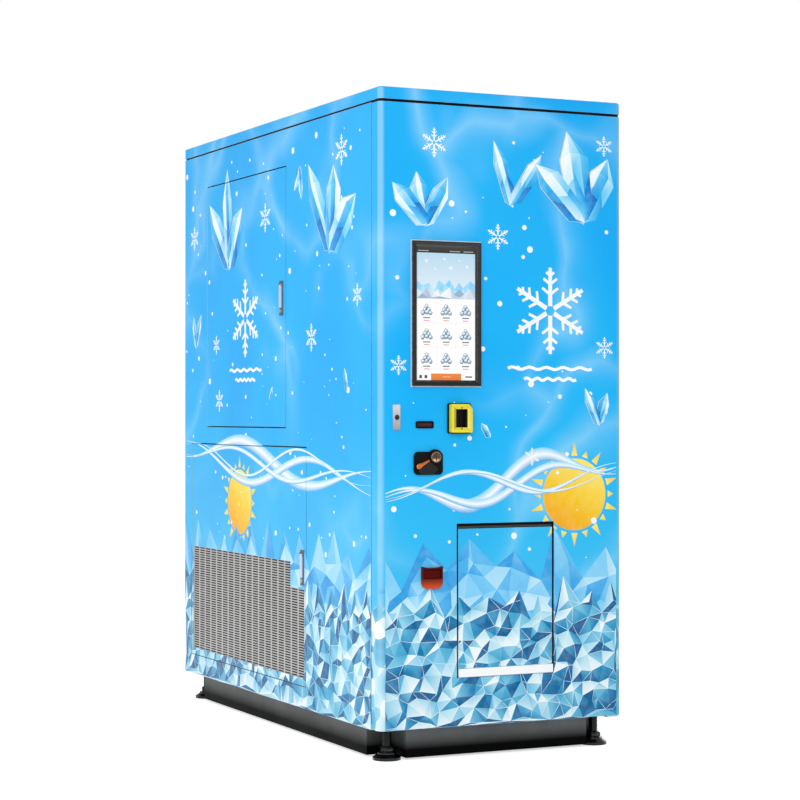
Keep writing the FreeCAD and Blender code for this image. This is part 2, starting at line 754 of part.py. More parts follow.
# Coin acceptor
DISC_X = "(coin_x+disc_x)"
DISC_Z = "(coin_z+disc_z)"
LEVER_X = "(coin_x-lever_x)"
LEVER_Z = "(coin_z-lever_z)"
coin_face = plate_body("coin_face", "coin_width", "coin_height", "coin_proud", "coin_round", "coin_x",
                       FRONT, "coin_z")
part("coin_unit", cut(
    fuse(
        coin_face,
        rod("y", "boss_radius", (FRONT + "-boss_proud", FRONT), x=DISC_X, z=DISC_Z),
        box(around("coin_x", "coin_width-18"), (FRONT, FRONT + "+coin_deep"),
            around("coin_z", "coin_height-18")),
        box(around("coin_x", "coin_width-4"), (SKIN_BACK, SKIN_BACK + "+10"),
            around("coin_z", "coin_height-4")),
    ),
    rod("y", "3+run_clear", (FRONT + "-coin_proud-1", FRONT + "-1"), x=LEVER_X, z=LEVER_Z),
    box(around(DISC_X, "3"), (FRONT + "-boss_proud-1", FRONT + "-boss_proud+10"),
        around(DISC_Z, "disc_radius*1.4")),
))
part("coin_disc", cut(
    rod("y", "disc_radius", (FRONT + "-boss_proud-3", FRONT + "-boss_proud"), x=DISC_X, z=DISC_Z),
    box(around(DISC_X, "3"), (FRONT + "-boss_proud-4", FRONT + "-boss_proud+1"),
        around(DISC_Z, "disc_radius*1.4")),
))
lever = fuse(
    rod("y", "lever_head", ("-8", "-seat_clear")),
    rod("y", "3", ("-4", "coin_proud-3")),
    box(("0", "lever_length"), ("-7", "-1"), ("-lever_head/2", "lever_head/2-2")),
)
lever.Placement = FreeCAD.Placement(V(0, 0, 0), FreeCAD.Rotation(V(0, 1, 0), -mm("lever_slope")))
place(lever, LEVER_X, FRONT + "-coin_proud", LEVER_Z)
part("coin_lever", lever)

# Coin return cup and its flap
cup_face = body_named("cup_face")
cup_outline = sketch_on(cup_face, "XZ_Plane")
draw_rectangle(cup_outline, "cup_width", "cup_height")
cup_pad = pad(cup_face, cup_outline, "cup_proud")
soften(cup_face, cup_pad, "cup_round", lambda edge: runs_along(edge, V(0, 1, 0)) and edge.CenterOfMass.z < 0)
place(cup_face, "cup_x", FRONT, "cup_z")
CUP_LOW = "(cup_z-cup_height/2)"
CUP_TOP = "(cup_z+cup_height/2)"
CUP_ROOF = "(cup_z+cup_height/2-cup_wall-cup_sag)"
CUP_IN = around("cup_x", "cup_width-14")
CUP_PIN = {"y": FRONT + "-cup_proud+5", "z": CUP_ROOF + "-3"}
part("coin_cup", cut(
    fuse(
        cup_face,
        box(around("cup_x", "cup_width-10"), (FRONT, FRONT + "+cup_deep"), (CUP_LOW + "+12", CUP_TOP + "-8")),
    ),
    box(around("cup_x", "cup_width-2*cup_side"), (FRONT + "-cup_proud-1", FRONT + "-cup_proud+8"),
        (CUP_LOW + "+cup_lip", CUP_ROOF + "+2")),
    box(CUP_IN, (FRONT + "-cup_proud+7", FRONT + "+cup_deep-3"), (CUP_LOW + "+14", CUP_ROOF + "-1")),
    rod("y", "cup_arc", (FRONT + "-cup_proud-1", FRONT), x="cup_x", z=CUP_TOP + "-cup_sag+cup_arc"),
    rod("x", "2+run_clear", grown(CUP_IN, "5.5"), **CUP_PIN),
))
part("coin_flap", fuse(
    box(grown(CUP_IN, "-0.8"), (FRONT + "-cup_proud+4", FRONT + "-cup_proud+6"),
        (CUP_LOW + "+cup_lip+0.8", CUP_ROOF + "-3")),
    rod("x", "2", grown(CUP_IN, "5"), **CUP_PIN),
))

# Pick-up hatch in the door
FLAP_PIN = {"y": FRONT + "+1+flap_thick/2", "z": OPEN_Z[1] + "-jamb-7"}
part("pickup_frame", cut(
    box(OPEN_X, (FRONT, DOOR_BACK), OPEN_Z),
    box(grown(OPEN_X, "-jamb"), (FRONT + "-1", DOOR_BACK + "+1"), (OPEN_Z[0] + "-1", OPEN_Z[1] + "-jamb")),
    rod("x", "3+run_clear", grown(OPEN_X, "1"), **FLAP_PIN),
))
FLAP_X = grown(OPEN_X, "-(jamb+1.5)")
RAIL_Z = ("flap_bottom+1.5", "flap_bottom+1.5+flap_rail_height")
part("pickup_flap",
     box(FLAP_X, (FRONT + "+1", FRONT + "+1+flap_thick"), (RAIL_Z[1], OPEN_Z[1] + "-jamb-12-seat_clear")))
part("flap_rod", fuse(
    rod("x", "5", FLAP_X, **FLAP_PIN),
    rod("x", "3", grown(OPEN_X, "-0.5"), **FLAP_PIN),
))
rail = box(FLAP_X, (FRONT + "-flap_rail_proud", FRONT + "+1+flap_thick"), RAIL_Z)
part("flap_rail", round_edges(rail, mm("sheet_thick"), lambda edge: runs_along(edge, V(1, 0, 0))
                              and edge.CenterOfMass.y < -mm("cabinet_depth") / 2))


# Side service hatches
def hatch_shell(y, z, latch_y, latch_z, *holes):
    """Folded tray flush with the left panel, bored for its two pivots and the latch."""
    y = grown(y, "-hatch_gap")
    z = grown(z, "-hatch_gap")
    pivot = {"x": LEFT + "+hatch_pivot_inset", "y": y[1] + "-hatch_pivot_inset"}
    return cut(
        box((LEFT, LEFT + "+hatch_fold"), y, z),
        box((LEFT + "+sheet_thick", LEFT + "+hatch_fold+1"), grown(y, "-sheet_thick"),
            grown(z, "-sheet_thick")),
        rod("z", "hatch_pin_radius+run_clear", grown(z, "1"), **pivot),
        rod("x", "latch_radius+run_clear", grown(LEFT_SHEET, "1"), y=latch_y, z=latch_z),
        *holes,
    )


def hatch_pivots(y, z):
    """Upper and lower bracket with pin on the inside of the left panel."""
    axis_y = y[1] + "-hatch_gap-hatch_pivot_inset"
    blocks = []
    for edge, out in ((z[1], 1), (z[0], -1)):
        reach = "hatch_gap+sheet_thick+6"
        bracket = (edge, edge + "+hatch_bracket") if out > 0 else (edge + "-hatch_bracket", edge)
        pin = (edge + "-(%s)" % reach, bracket[1]) if out > 0 else (bracket[0], edge + "+" + reach)
        blocks.append(fuse(
            box((LEFT + "+sheet_thick", LEFT + "+sheet_thick+16"), around(axis_y, "24"), bracket),
            rod("z", "hatch_pin_radius", pin, x=LEFT + "+hatch_pivot_inset", y=axis_y),
        ))
    return blocks


def handle(prefix, y, z):
    """Fixed plate with two lugs, lifting grip and quarter-turn latch of one hatch."""
    latch_z = z + "-handle_height/2+16"
    pin = {"x": LEFT + "-handle_plate-grip_gap-grip_thick/2", "z": z + "+handle_height/2-14"}
    lugs = []
    for sign in (-1, 1):
        span = side(sign, "grip_width/2+0.5", "handle_width/2-1")
        lugs.append(box((LEFT + "-handle_plate-grip_gap-grip_thick", LEFT),
                        (y + "+" + span[0], y + "+" + span[1]), around(pin["z"], "10")))
    plate = round_edges(box((LEFT + "-handle_plate", LEFT), around(y, "handle_width"),
                            around(z, "handle_height")),
                        mm("handle_plate"), lambda edge: runs_along(edge, V(1, 0, 0)))
    part(prefix + "_handle", cut(
        fuse(plate, *lugs),
        rod("y", "grip_pin+run_clear", around(y, "handle_width+2"), **pin),
        rod("x", "latch_radius+run_clear", (LEFT + "-handle_plate-1", LEFT + "+1"), y=y, z=latch_z),
    ))
    grip_z = (latch_z + "+latch_radius+3", pin["z"] + "+1")
    part(prefix + "_grip", fuse(
        box((LEFT + "-handle_plate-grip_gap-grip_thick", LEFT + "-handle_plate-grip_gap"),
            around(y, "grip_width"), grip_z),
        rod("y", "grip_pin", around(y, "handle_width-3"), **pin),
    ))
    part(prefix + "_latch", cut(
        fuse(
            rod("x", "latch_radius", (LEFT + "-handle_plate-4", LEFT + "+hatch_fold+6"), y=y, z=latch_z),
            box((LEFT + "+hatch_fold+2", LEFT + "+hatch_fold+6"), around(y, "cam_width"),
                (latch_z + "-latch_reach", latch_z + "+cam_width/2")),
        ),
        box((LEFT + "-handle_plate-5", LEFT), around(y, "2"), around(latch_z, "latch_radius")),
    ))


UPPER_GRIP_Y = UPPER_Y[0] + "+upper_handle_inset"
UPPER_GRIP_Z = "upper_hatch_bottom+upper_handle_rise"
LOWER_GRIP_Y = LOWER_Y[0] + "+lower_handle_inset"
LOWER_GRIP_Z = "upper_hatch_bottom-hatch_bridge-lower_handle_drop"
UPPER_LATCH_Z = UPPER_GRIP_Z + "-handle_height/2+16"
LOWER_LATCH_Z = LOWER_GRIP_Z + "-handle_height/2+16"
GRILLE_Y = (LOWER_Y[0] + "+grille_front", LOWER_Y[1] + "-grille_rear")
GRILLE_Z = (LOWER_Z[0] + "+grille_lift", LOWER_Z[0] + "+grille_lift+grille_height")
part("upper_hatch", hatch_shell(UPPER_Y, UPPER_Z, UPPER_GRIP_Y, UPPER_LATCH_Z))
part("lower_hatch", hatch_shell(
    LOWER_Y, LOWER_Z, LOWER_GRIP_Y, LOWER_LATCH_Z,
    box(grown(LEFT_SHEET, "1"), GRILLE_Y, (GRILLE_Z[0], GRILLE_Z[1] + "-notch_height")),
    box(grown(LEFT_SHEET, "1"), (GRILLE_Y[0] + "+notch_width", GRILLE_Y[1]), GRILLE_Z),
))
part("hatch_pivots", group(*hatch_pivots(UPPER_Y, UPPER_Z), *hatch_pivots(LOWER_Y, LOWER_Z)))
handle("upper", UPPER_GRIP_Y, UPPER_GRIP_Z)
handle("lower", LOWER_GRIP_Y, LOWER_GRIP_Z)


# Intake grille: one sheet with rows of short slots, none behind the printed notch
def slotted_sheet():
    left = -mm("cabinet_width") / 2 + mm("sheet_thick")
    front = -mm("cabinet_depth") / 2 + mm("lower_hatch_front") + mm("grille_front")
    rear = mm("cabinet_depth") / 2 - mm("lower_hatch_rear") - mm("grille_rear")
    low = mm("leg_height") + mm("lower_hatch_lift") + mm("grille_lift")
    high = low + mm("grille_height")
    lap = mm("grille_lap")
    columns = int(mm("slot_columns"))
    rows = int(mm("slot_rows"))
    step_y = (rear - front) / columns
    step_z = (high - low) / rows
    reach = min(mm("slot_length"), 0.9 * step_y) / 2
    rise = min(mm("slot_height"), 0.7 * step_z) / 2
    latch_y = front - mm("grille_front") + mm("lower_handle_inset")
    handle_z = mm("upper_hatch_bottom") - mm("hatch_bridge") - mm("lower_handle_drop")
    latch_z = handle_z - mm("handle_height") / 2 + 16

    def ring(y, z, order):
        corners = [V(left, y[0], z[0]), V(left, y[1], z[0]), V(left, y[1], z[1]),
                   V(left, y[0], z[1])][::order]
        return Part.makePolygon(corners + corners[:1])

    bands = []
    for column in range(columns):
        middle = front + (column + 0.5) * step_y
        edges = [middle - step_y / 2, middle + step_y / 2]
        if column == 0:
            edges[0] -= lap
        if column == columns - 1:
            edges[1] += lap
        wires = [ring(edges, (low - lap, high + lap), 1)]
        for line in range(rows):
            level = low + (line + 0.5) * step_z
            if middle - reach < front + mm("notch_width") and level + 2 * rise > high - mm("notch_height"):
                continue
            wires.append(ring((middle - reach, middle + reach), (level - rise, level + rise), -1))
        bands.append(Part.Face(wires).extrude(V(mm("sheet_thick"), 0, 0)))
    bore = Part.makeCylinder(mm("latch_radius") + 2, mm("sheet_thick") + 2, V(left - 1, latch_y, latch_z),
                             V(1, 0, 0))
    bands[0] = bands[0].cut(bore)
    return bands[0].fuse(bands[1:])


grille = DOC.addObject("Part::Feature", "Slots")
grille.Shape = slotted_sheet()
part("intake_grille", grille)
FILTER_X = (LEFT + "+2*sheet_thick", LEFT + "+2*sheet_thick+filter_thick")
part("intake_filter", cut(
    box(FILTER_X, grown(GRILLE_Y, "3"), grown(GRILLE_Z, "3")),
    box(grown(FILTER_X, "1"), (GRILLE_Y[0] + "-4", GRILLE_Y[0] + "+notch_width-4"),
        (GRILLE_Z[1] + "-notch_height+4", GRILLE_Z[1] + "+4")),
))

# Delivery chamber behind the pick-up hatch, on two legs, with guides for the chute gate
CHAMBER_X = grown(OPEN_X, "5")
CHAMBER_Y = (BODY_FRONT + "+4", CHAMBER_BACK)
CHAMBER_Z = (OPEN_Z[0] + "-5", OPEN_Z[1] + "+5")
CHUTE_X = around("flap_x", "chute_width")
CHUTE_Y = (CHAMBER_BACK + "-5-chute_length", CHAMBER_BACK + "-5")
GATE_X = grown(CHUTE_X, "4")
GUIDES = (("0.5", "8.5", "0", "gate_thick+3"), ("-5", "8.5", "gate_thick+1", "gate_thick+3"))
extras = []
for sign in (-1, 1):
    leg = around("flap_x+(%d)*(flap_width/2-20)" % sign, "24")
    extras.append(box(leg, grown(CHAMBER_Y, "-40"), (DECK, CHAMBER_Z[0] + "+1")))
    for near, far, low, high in GUIDES:
        span = side(sign, "chute_width/2+4+" + near, "chute_width/2+4+" + far)
        extras.append(box(("flap_x+" + span[0], "flap_x+" + span[1]),
                          (CHUTE_Y[0] + "-chute_length-4", CHUTE_Y[1] + "+3"),
                          (CHAMBER_Z[1] + "-0.5+" + low if low == "0" else CHAMBER_Z[1] + "+" + low,
                           CHAMBER_Z[1] + "+" + high)))
part("pickup_chamber", cut(
    fuse(box(CHAMBER_X, CHAMBER_Y, CHAMBER_Z), *extras),
    box(grown(CHAMBER_X, "-chamber_wall"), (CHAMBER_Y[0] + "-1", CHAMBER_Y[1] + "-chamber_wall"),
        grown(CHAMBER_Z, "-chamber_wall")),
    box(grown(CHUTE_X, "-2"), grown(CHUTE_Y, "-2"), (CHAMBER_Z[1] + "-chamber_wall-1", CHAMBER_Z[1] + "+1")),
))
GATE_Y = grown(CHUTE_Y, "1")
GATE_Z = (CHAMBER_Z[1] + "+seat_clear", CHAMBER_Z[1] + "+seat_clear+gate_thick")
part("chute_gate", fuse(
    box(GATE_X, GATE_Y, GATE_Z),
    box(around("flap_x", "60"), (GATE_Y[0] + "-3", GATE_Y[0]), (GATE_Z[0], GATE_Z[1] + "+12")),
))

# Ice bin with floor outlet, chute below it
BIN_X = around("flap_x", "bin_width")
BIN_Y = (BIN_FRONT, BIN_REAR)
BIN_Z = (MID_TOP, MID_TOP + "+bin_height")
AUGER = {"x": "flap_x", "z": MID_TOP + "+bin_wall+auger_radius+8"}
part("ice_bin", cut(
    box(BIN_X, BIN_Y, BIN_Z),
    box(grown(BIN_X, "-bin_wall"), grown(BIN_Y, "-bin_wall"), (BIN_Z[0] + "+bin_wall", BIN_Z[1] + "+1")),
    box(grown(CHUTE_X, "-2"), grown(CHUTE_Y, "-2"), (BIN_Z[0] + "-1", BIN_Z[0] + "+bin_wall+1")),
    rod("y", "auger_shaft+run_clear", (BIN_Y[0] + "+5", BIN_Y[1] + "+1"), **AUGER),
))
CHUTE_Z = (CHAMBER_Z[1] + "+gate_thick+4", BIN_Z[0])
part("ice_chute", cut(
    fuse(
        box(CHUTE_X, CHUTE_Y, CHUTE_Z),
        box(grown(CHUTE_X, "12"), (CHUTE_Y[0] + "-8", CHUTE_Y[1] + "+4"), (CHUTE_Z[1] + "-3", CHUTE_Z[1])),
    ),
    box(grown(CHUTE_X, "-2"), grown(CHUTE_Y, "-2"), grown(CHUTE_Z, "1")),
))

# Auger with stepped paddles, driven from the rear
paddles = [rod("y", "auger_shaft", (BIN_Y[0] + "+6", BIN_Y[1] + "+40"), **AUGER)]
count = int(mm("paddle_count"))
for n in range(count):
    paddle = DOC.addObject("Part::Box", "Paddle")
    bind(paddle, Length="26", Width="4", Height="auger_radius")
    turn = FreeCAD.Rotation(V(0, 1, 0), 50 * n).multiply(FreeCAD.Rotation(V(0, 0, 1), 35))
    paddle.Placement = FreeCAD.Placement(turn.multVec(V(-13, -2, 0)), turn)
    shift = turn.multVec(V(-13, -2, 0))
    along = BIN_Y[0] + "+bin_wall+30+%d*(bin_length-2*bin_wall-60)/%d" % (n, count - 1)
    place(paddle, AUGER["x"] + "+(%.6f)" % shift.x, along + "+(%.6f)" % shift.y,
          AUGER["z"] + "+(%.6f)" % shift.z)
    paddles.append(paddle)
part("auger", fuse(*paddles))
MOTOR_Y = BIN_Y[1] + "+14"
part("auger_motor", cut(
    fuse(
        box(around(AUGER["x"], "motor_flange"), (BIN_Y[1], MOTOR_Y), around(AUGER["z"], "motor_flange")),
        rod("y", "motor_radius", (MOTOR_Y, MOTOR_Y + "+motor_length"), **AUGER),
    ),
    rod("y", "auger_shaft+run_clear", (BIN_Y[1] + "-1", BIN_Y[1] + "+42"), **AUGER),
))

# Ice maker above the bin
STAND_TOP = "(cabinet_height-cap_height-roof_gap-tube_side-maker_drop)"
MAKER_Y = around("(%s)+bin_length*0.45" % BIN_FRONT, "maker_length")
DROP_Y = (MAKER_Y[0] + "+maker_length*0.1", MAKER_Y[0] + "+maker_length*0.575")
stand = [box(BIN_X, BIN_Y, (BIN_Z[1], BIN_Z[1] + "+plate_thick"))]
for sign in (-1, 1):
    at = "flap_x+(%d)*bin_width*0.36" % sign
    stand.append(box(around(at, "plate_thick"), MAKER_Y, (BIN_Z[1], STAND_TOP)))
part("ice_maker_stand", cut(
    fuse(*stand),
    box(around("flap_x", "bin_width*0.6"), DROP_Y, (BIN_Z[1] + "-1", BIN_Z[1] + "+plate_thick+1")),
))
CELL_X = around("flap_x", "bin_width*0.72-plate_thick")
PLATE_Y = (DROP_Y[1] + "-30", DROP_Y[1] + "-20")
CELL_Z = (BIN_Z[1] + "+cell_lift", STAND_TOP + "-cell_deep")
fins = [box(CELL_X, PLATE_Y, CELL_Z)]
for n in range(int(mm("cell_count"))):
    at = "%s+plate_thick/2+%d*(bin_width*0.72-2*plate_thick)/(cell_count-1)" % (CELL_X[0], n)
    fins.append(box(around(at, "plate_thick"), (PLATE_Y[0] + "-cell_deep", PLATE_Y[0]), CELL_Z))
part("evaporator", fuse(*fins))
TROUGH_Y = (DROP_Y[1] + "+10", MAKER_Y[1] + "-20")
TROUGH_Z = (BIN_Z[1] + "+plate_thick", BIN_Z[1] + "+plate_thick+trough_height")
part("water_trough", cut(
    box(CELL_X, TROUGH_Y, TROUGH_Z),
    box(grown(CELL_X, "-plate_thick"), grown(TROUGH_Y, "-plate_thick"),
        (TROUGH_Z[0] + "+plate_thick", TROUGH_Z[1] + "+1")),
))

# Condenser behind the intake grille, fan and motor behind it
COIL_X = (LEFT + "+hatch_fold+condenser_gap", LEFT + "+hatch_fold+condenser_gap+condenser_thick")
COIL_Y = around(FAN_Y, "condenser_length")
COIL_Z = (DECK + "+condenser_lift", DECK + "+condenser_lift+condenser_height")
coil = []
for n in range(int(mm("fin_count"))):
    at = "%s+sheet_thick/2+%d*(condenser_length-sheet_thick)/(fin_count-1)" % (COIL_Y[0], n)
    coil.append(box(COIL_X, around(at, "sheet_thick"), COIL_Z))
for y in (COIL_Y[0] + "-plate_thick", COIL_Y[1]):
    coil.append(box(COIL_X, (y, y + "+plate_thick"), (DECK, COIL_Z[1] + "+5")))
for n in range(8):
    coil.append(rod("y", "tube_radius", grown(COIL_Y, "tube_bend"), x=COIL_X[0] + "+condenser_thick/2",
                    z=COIL_Z[0] + "+condenser_height*(1+2*%d)/16" % n))
part("condenser_coil", fuse(*coil))
FAN = {"y": FAN_Y, "z": DECK + "+condenser_lift+condenser_height/2"}
SHROUD_X = (COIL_X[1], COIL_X[1] + "+shroud_deep")
part("fan_shroud", cut(
    fuse(
        box((COIL_X[1], COIL_X[1] + "+sheet_thick"), COIL_Y, (DECK, COIL_Z[1])),
        rod("x", "fan_radius+tip_gap+sheet_thick", SHROUD_X, **FAN),
    ),
    rod("x", "fan_radius+tip_gap", grown(SHROUD_X, "1"), **FAN),
))
STRUT_X = (SHROUD_X[1] + "+strut_gap", SHROUD_X[1] + "+strut_gap+strut_thick")
strut = [box(STRUT_X, around(FAN_Y, "strut_width"), around(FAN["z"], "2*fan_radius+10*tip_gap"))]
for sign in (-1, 1):
    foot_z = "%s+(%d)*(fan_radius+4*tip_gap)" % (FAN["z"], sign)
    strut.append(box((COIL_X[1] + "+sheet_thick", STRUT_X[1]), around(FAN_Y, "strut_width"),
                     around(foot_z, "2*tip_gap")))
part("fan_motor", cut(
    fuse(*strut, rod("x", "fan_motor_radius", (STRUT_X[1], STRUT_X[1] + "+fan_motor_length"), **FAN)),
    rod("x", "fan_shaft+run_clear", (STRUT_X[0] + "-1", STRUT_X[1] + "+fan_motor_length/2"), **FAN),
))
blades = [
    rod("x", "fan_hub", (SHROUD_X[0] + "+tip_gap", SHROUD_X[1] + "+strut_thick"), **FAN),
    rod("x", "fan_shaft", (SHROUD_X[1], STRUT_X[1] + "+fan_motor_length/2-2"), **FAN),
]
for n in range(int(mm("blade_count"))):
    blade = DOC.addObject("Part::Box", "Blade")
    bind(blade, Length="2.5", Width="fan_radius*0.42", Height="fan_radius-fan_hub/2-2")
    about_hub = FreeCAD.Rotation(V(1, 0, 0), 360 * n / mm("blade_count"))
    turn = about_hub.multiply(FreeCAD.Rotation(V(0, 0, 1), -22))
    shift = turn.multVec(V(-1.25, -mm("fan_radius") * 0.21, mm("fan_hub") / 2))
    blade.Placement = FreeCAD.Placement(shift, turn)
    place(blade, SHROUD_X[0] + "+shroud_deep*0.6+(%.6f)" % shift.x, FAN["y"] + "+(%.6f)" % shift.y,
          FAN["z"] + "+(%.6f)" % shift.z)
    blades.append(blade)
part("condenser_fan", fuse(*blades))

# Compressor on the deck
shell = body_named("compressor_shell")
shell_profile = sketch_on(shell, "XZ_Plane")
draw_profile(shell_profile, (
    ("0", "0"),
    ("compressor_radius*0.75", "0"),
    ("compressor_radius", "compressor_height*0.12"),
    ("compressor_radius", "compressor_height*0.78"),
    ("compressor_radius*0.72", "compressor_height*0.95"),
    ("compressor_radius*0.3", "compressor_height"),
    ("0", "compressor_height"),
))
dome = shell.newObject("PartDesign::Revolution", "Revolution")
dome.Profile = shell_profile
dome.ReferenceAxis = (shell_profile, ["V_Axis"])
dome.Angle = 360
COMP = {"x": "cabinet_width/2-compressor_inset_x", "y": "cabinet_depth/2-compressor_inset_y"}
place(shell, COMP["x"], COMP["y"], DECK + "+12")
part("compressor", fuse(
    shell,
    box(around(COMP["x"], "2*compressor_radius+30"), around(COMP["y"], "2*compressor_radius+30"),
        (DECK, DECK + "+6")),
    rod("z", "compressor_radius*0.6", (DECK + "+5", DECK + "+14"), **COMP),
))

# Control box on the right panel
CTRL_X = (INNER + "-control_thick", INNER)
CTRL_Y = (BODY_REAR + "-tube_side-control_gap-control_length", BODY_REAR + "-tube_side-control_gap")
CTRL_Z = (BODY_TOP + "-control_drop-control_height", BODY_TOP + "-control_drop")
part("control_box", cut(
    box(CTRL_X, CTRL_Y, CTRL_Z),
    box((CTRL_X[0] + "-1", CTRL_X[1] + "-sheet_thick"), grown(CTRL_Y, "-sheet_thick"),
        grown(CTRL_Z, "-sheet_thick")),
    box((CTRL_X[1] + "-sheet_thick-1", CTRL_X[1] + "+1"), grown(CTRL_Y, "-40"),
        ("%s+60" % CTRL_Z[0], "%s+80" % CTRL_Z[0])),
))

# Rear connections
for label, radius, at in (("water_inlet", "inlet_radius", INLET), ("drain_outlet", "drain_radius", DRAIN)):
    part(label, cut(
        fuse(
            rod("y", radius, (BODY_REAR + "-40", REAR + "+spigot_out"), **at),
            rod("y", radius + "+9", (REAR, REAR + "+4"), **at),
            box(around(at["x"], "2*%s+16" % radius), (BODY_REAR + "-70", BODY_REAR + "-8"),
                around(at["z"], "2*%s+16" % radius)),
        ),
        rod("y", radius + "-4", (BODY_REAR + "-30", REAR + "+spigot_out+1"), **at),
    ))
part("mains_inlet", cut(
    fuse(
        box(around(MAINS["x"], "mains_width-1"), (BODY_REAR + "-30", REAR),
            around(MAINS["z"], "mains_height-1")),
        box(around(MAINS["x"], "mains_width+14"), (REAR, REAR + "+4"), around(MAINS["z"], "mains_height+14")),
    ),
    box(around(MAINS["x"], "mains_width-14"), (BODY_REAR + "-16", REAR + "+5"),
        around(MAINS["z"], "mains_height-14")),
))

# Panel screws on the rear and right faces
screws = []
for n in range(6):
    level = "leg_height+120+%d*(cabinet_height-leg_height-360)/5" % n
    for sign in (-1, 1):
        screws.append(rod("y", "screw_radius", (REAR, REAR + "+screw_proud"),
                          x="(%d)*(cabinet_width/2-20)" % sign, z=level))
        screws.append(rod("x", "screw_radius", (RIGHT, RIGHT + "+screw_proud"),
                          y="(%d)*(cabinet_depth/2-90)" % sign, z=level))
part("panel_screws", group(*screws))

# Check and export
DOC.recompute()
for thing in DOC.Objects:
    if "Invalid" in thing.State or "Error" in thing.State:
        raise RuntimeError("%s (%s) did not recompute: %s" % (thing.Label, thing.Name, thing.State))
os.makedirs("parts", exist_ok=True)
for thing in PARTS:
    if thing.Shape.isNull() or not thing.Shape.isValid():
        raise RuntimeError("%s has no valid shape" % thing.Label)
    thing.Shape.exportStep("parts/%s.step" % thing.Label)
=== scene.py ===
import math
import random

import bmesh
import bpy
from mathutils import Matrix, Vector
from mathutils.geometry import delaunay_2d_cdt


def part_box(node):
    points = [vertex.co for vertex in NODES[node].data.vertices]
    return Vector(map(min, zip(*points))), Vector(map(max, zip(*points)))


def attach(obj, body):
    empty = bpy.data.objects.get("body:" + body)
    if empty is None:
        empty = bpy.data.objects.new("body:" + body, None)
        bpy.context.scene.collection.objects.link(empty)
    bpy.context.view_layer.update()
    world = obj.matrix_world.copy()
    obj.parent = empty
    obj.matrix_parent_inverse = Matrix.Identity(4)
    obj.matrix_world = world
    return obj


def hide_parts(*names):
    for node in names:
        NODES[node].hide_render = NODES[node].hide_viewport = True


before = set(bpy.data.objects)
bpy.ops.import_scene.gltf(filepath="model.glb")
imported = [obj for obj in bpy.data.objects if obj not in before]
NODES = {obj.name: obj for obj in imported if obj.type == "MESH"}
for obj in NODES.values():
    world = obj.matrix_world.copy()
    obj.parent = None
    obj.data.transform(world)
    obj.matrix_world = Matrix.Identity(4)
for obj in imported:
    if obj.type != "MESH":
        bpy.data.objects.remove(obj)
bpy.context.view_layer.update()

bl_info = {
    "name": "Ice vending cabinet dressing",
    "version": (1, 0, 0),
    "blender": (4, 5, 0),
    "location": "3D View > Sidebar > Ice Cabinet",
    "description": "Finishes, printed motifs and small fittings of an ice vending cabinet",
    "category": "Object",
}

DOOR_LOW, DOOR_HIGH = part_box("door_shell")


# Properties
def srgb(red, green, blue):
    """Linear colour with alpha from screen values of 0 to 255."""
    def straight(value):
        value /= 255
        return value / 12.92 if value <= 0.04045 else ((value + 0.055) / 1.055) ** 2.4
    return (straight(red), straight(green), straight(blue), 1.0)


def colour_value(label, about, *screen):
    """Colour property with its default as screen values of 0 to 255."""
    return bpy.props.FloatVectorProperty(name=label, description=about, subtype="COLOR", size=4, min=0, max=1,
                                         default=srgb(*screen))


def length_value(label, about, default):
    """Length property in metres."""
    return bpy.props.FloatProperty(name=label, description=about, default=default, min=0, unit="LENGTH")


def plain_value(label, about, default, low, high):
    """Number property with its limits."""
    return bpy.props.FloatProperty(name=label, description=about, default=default, min=low, max=high)


class CabinetColours(bpy.types.PropertyGroup):
    """Colours of the print and the fittings."""
    sky_top: colour_value("Sky top", "Print colour at the roof", 0, 163, 238)
    sky_mid: colour_value("Sky middle", "Print colour at the display", 0, 178, 246)
    sky_low: colour_value("Sky bottom", "Print colour behind the crystal ridge", 92, 192, 240)
    ink_white: colour_value("White ink", "Colour of the snowflakes and bars", 250, 253, 255)
    ink_sun: colour_value("Sun ink", "Colour of the sun discs", 250, 205, 40)
    reader: colour_value("Reader yellow", "Colour of the bill reader bezel", 240, 226, 30)
    cup: colour_value("Cup red", "Colour of the lip of the coin return cup", 208, 74, 30)
    lever: colour_value("Lever copper", "Colour of the coin return lever", 214, 116, 52)


class PrintSizes(bpy.types.PropertyGroup):
    """Sizes of the printed motifs."""
    ridge: length_value("Ridge height", "Mean height of the front crystal ridge", 0.47)
    ridge_cell: length_value("Ridge facet", "Width of one facet of the crystal ridge", 0.037)
    emblem: length_value("Emblem radius", "Radius of the large snowflakes", 0.135)
    sun: length_value("Sun radius", "Radius of the sun discs", 0.145)
    ribbon: length_value("Ribbon width", "Width of the broadest wave ribbon", 0.052)
    drop: length_value("Drop radius", "Radius of the largest printed drops", 0.0095)
    ink: length_value("Ink thickness", "Thickness of one layer of foil", 0.00012)


class StageSettings(bpy.types.PropertyGroup):
    """Light, floor and camera."""
    lens: plain_value("Lens", "Focal length of the camera in millimetres", 95.72, 10, 400)
    sky_light: plain_value("Sky light", "Strength of the even light all round", 0.56, 0, 2)
    key_light: plain_value("Key light", "Power of the large front light in watts", 230, 0, 5000)
    floor: colour_value("Floor", "Colour of the floor", 236, 237, 238)


# Node helpers
def add(tree, kind, inputs=None, **settings):
    """Adds one node, sets its settings, and links or fills its inputs."""
    made = tree.nodes.new(kind)
    for name, value in settings.items():
        setattr(made, name, value)
    for socket, value in (inputs or {}).items():
        join(tree, made.inputs[socket], value)
    return made


def join(tree, socket, value):
    """Links an output to a socket, or fills the socket with a plain value."""
    if isinstance(value, bpy.types.NodeSocket):
        tree.links.new(value, socket)
    else:
        socket.default_value = value


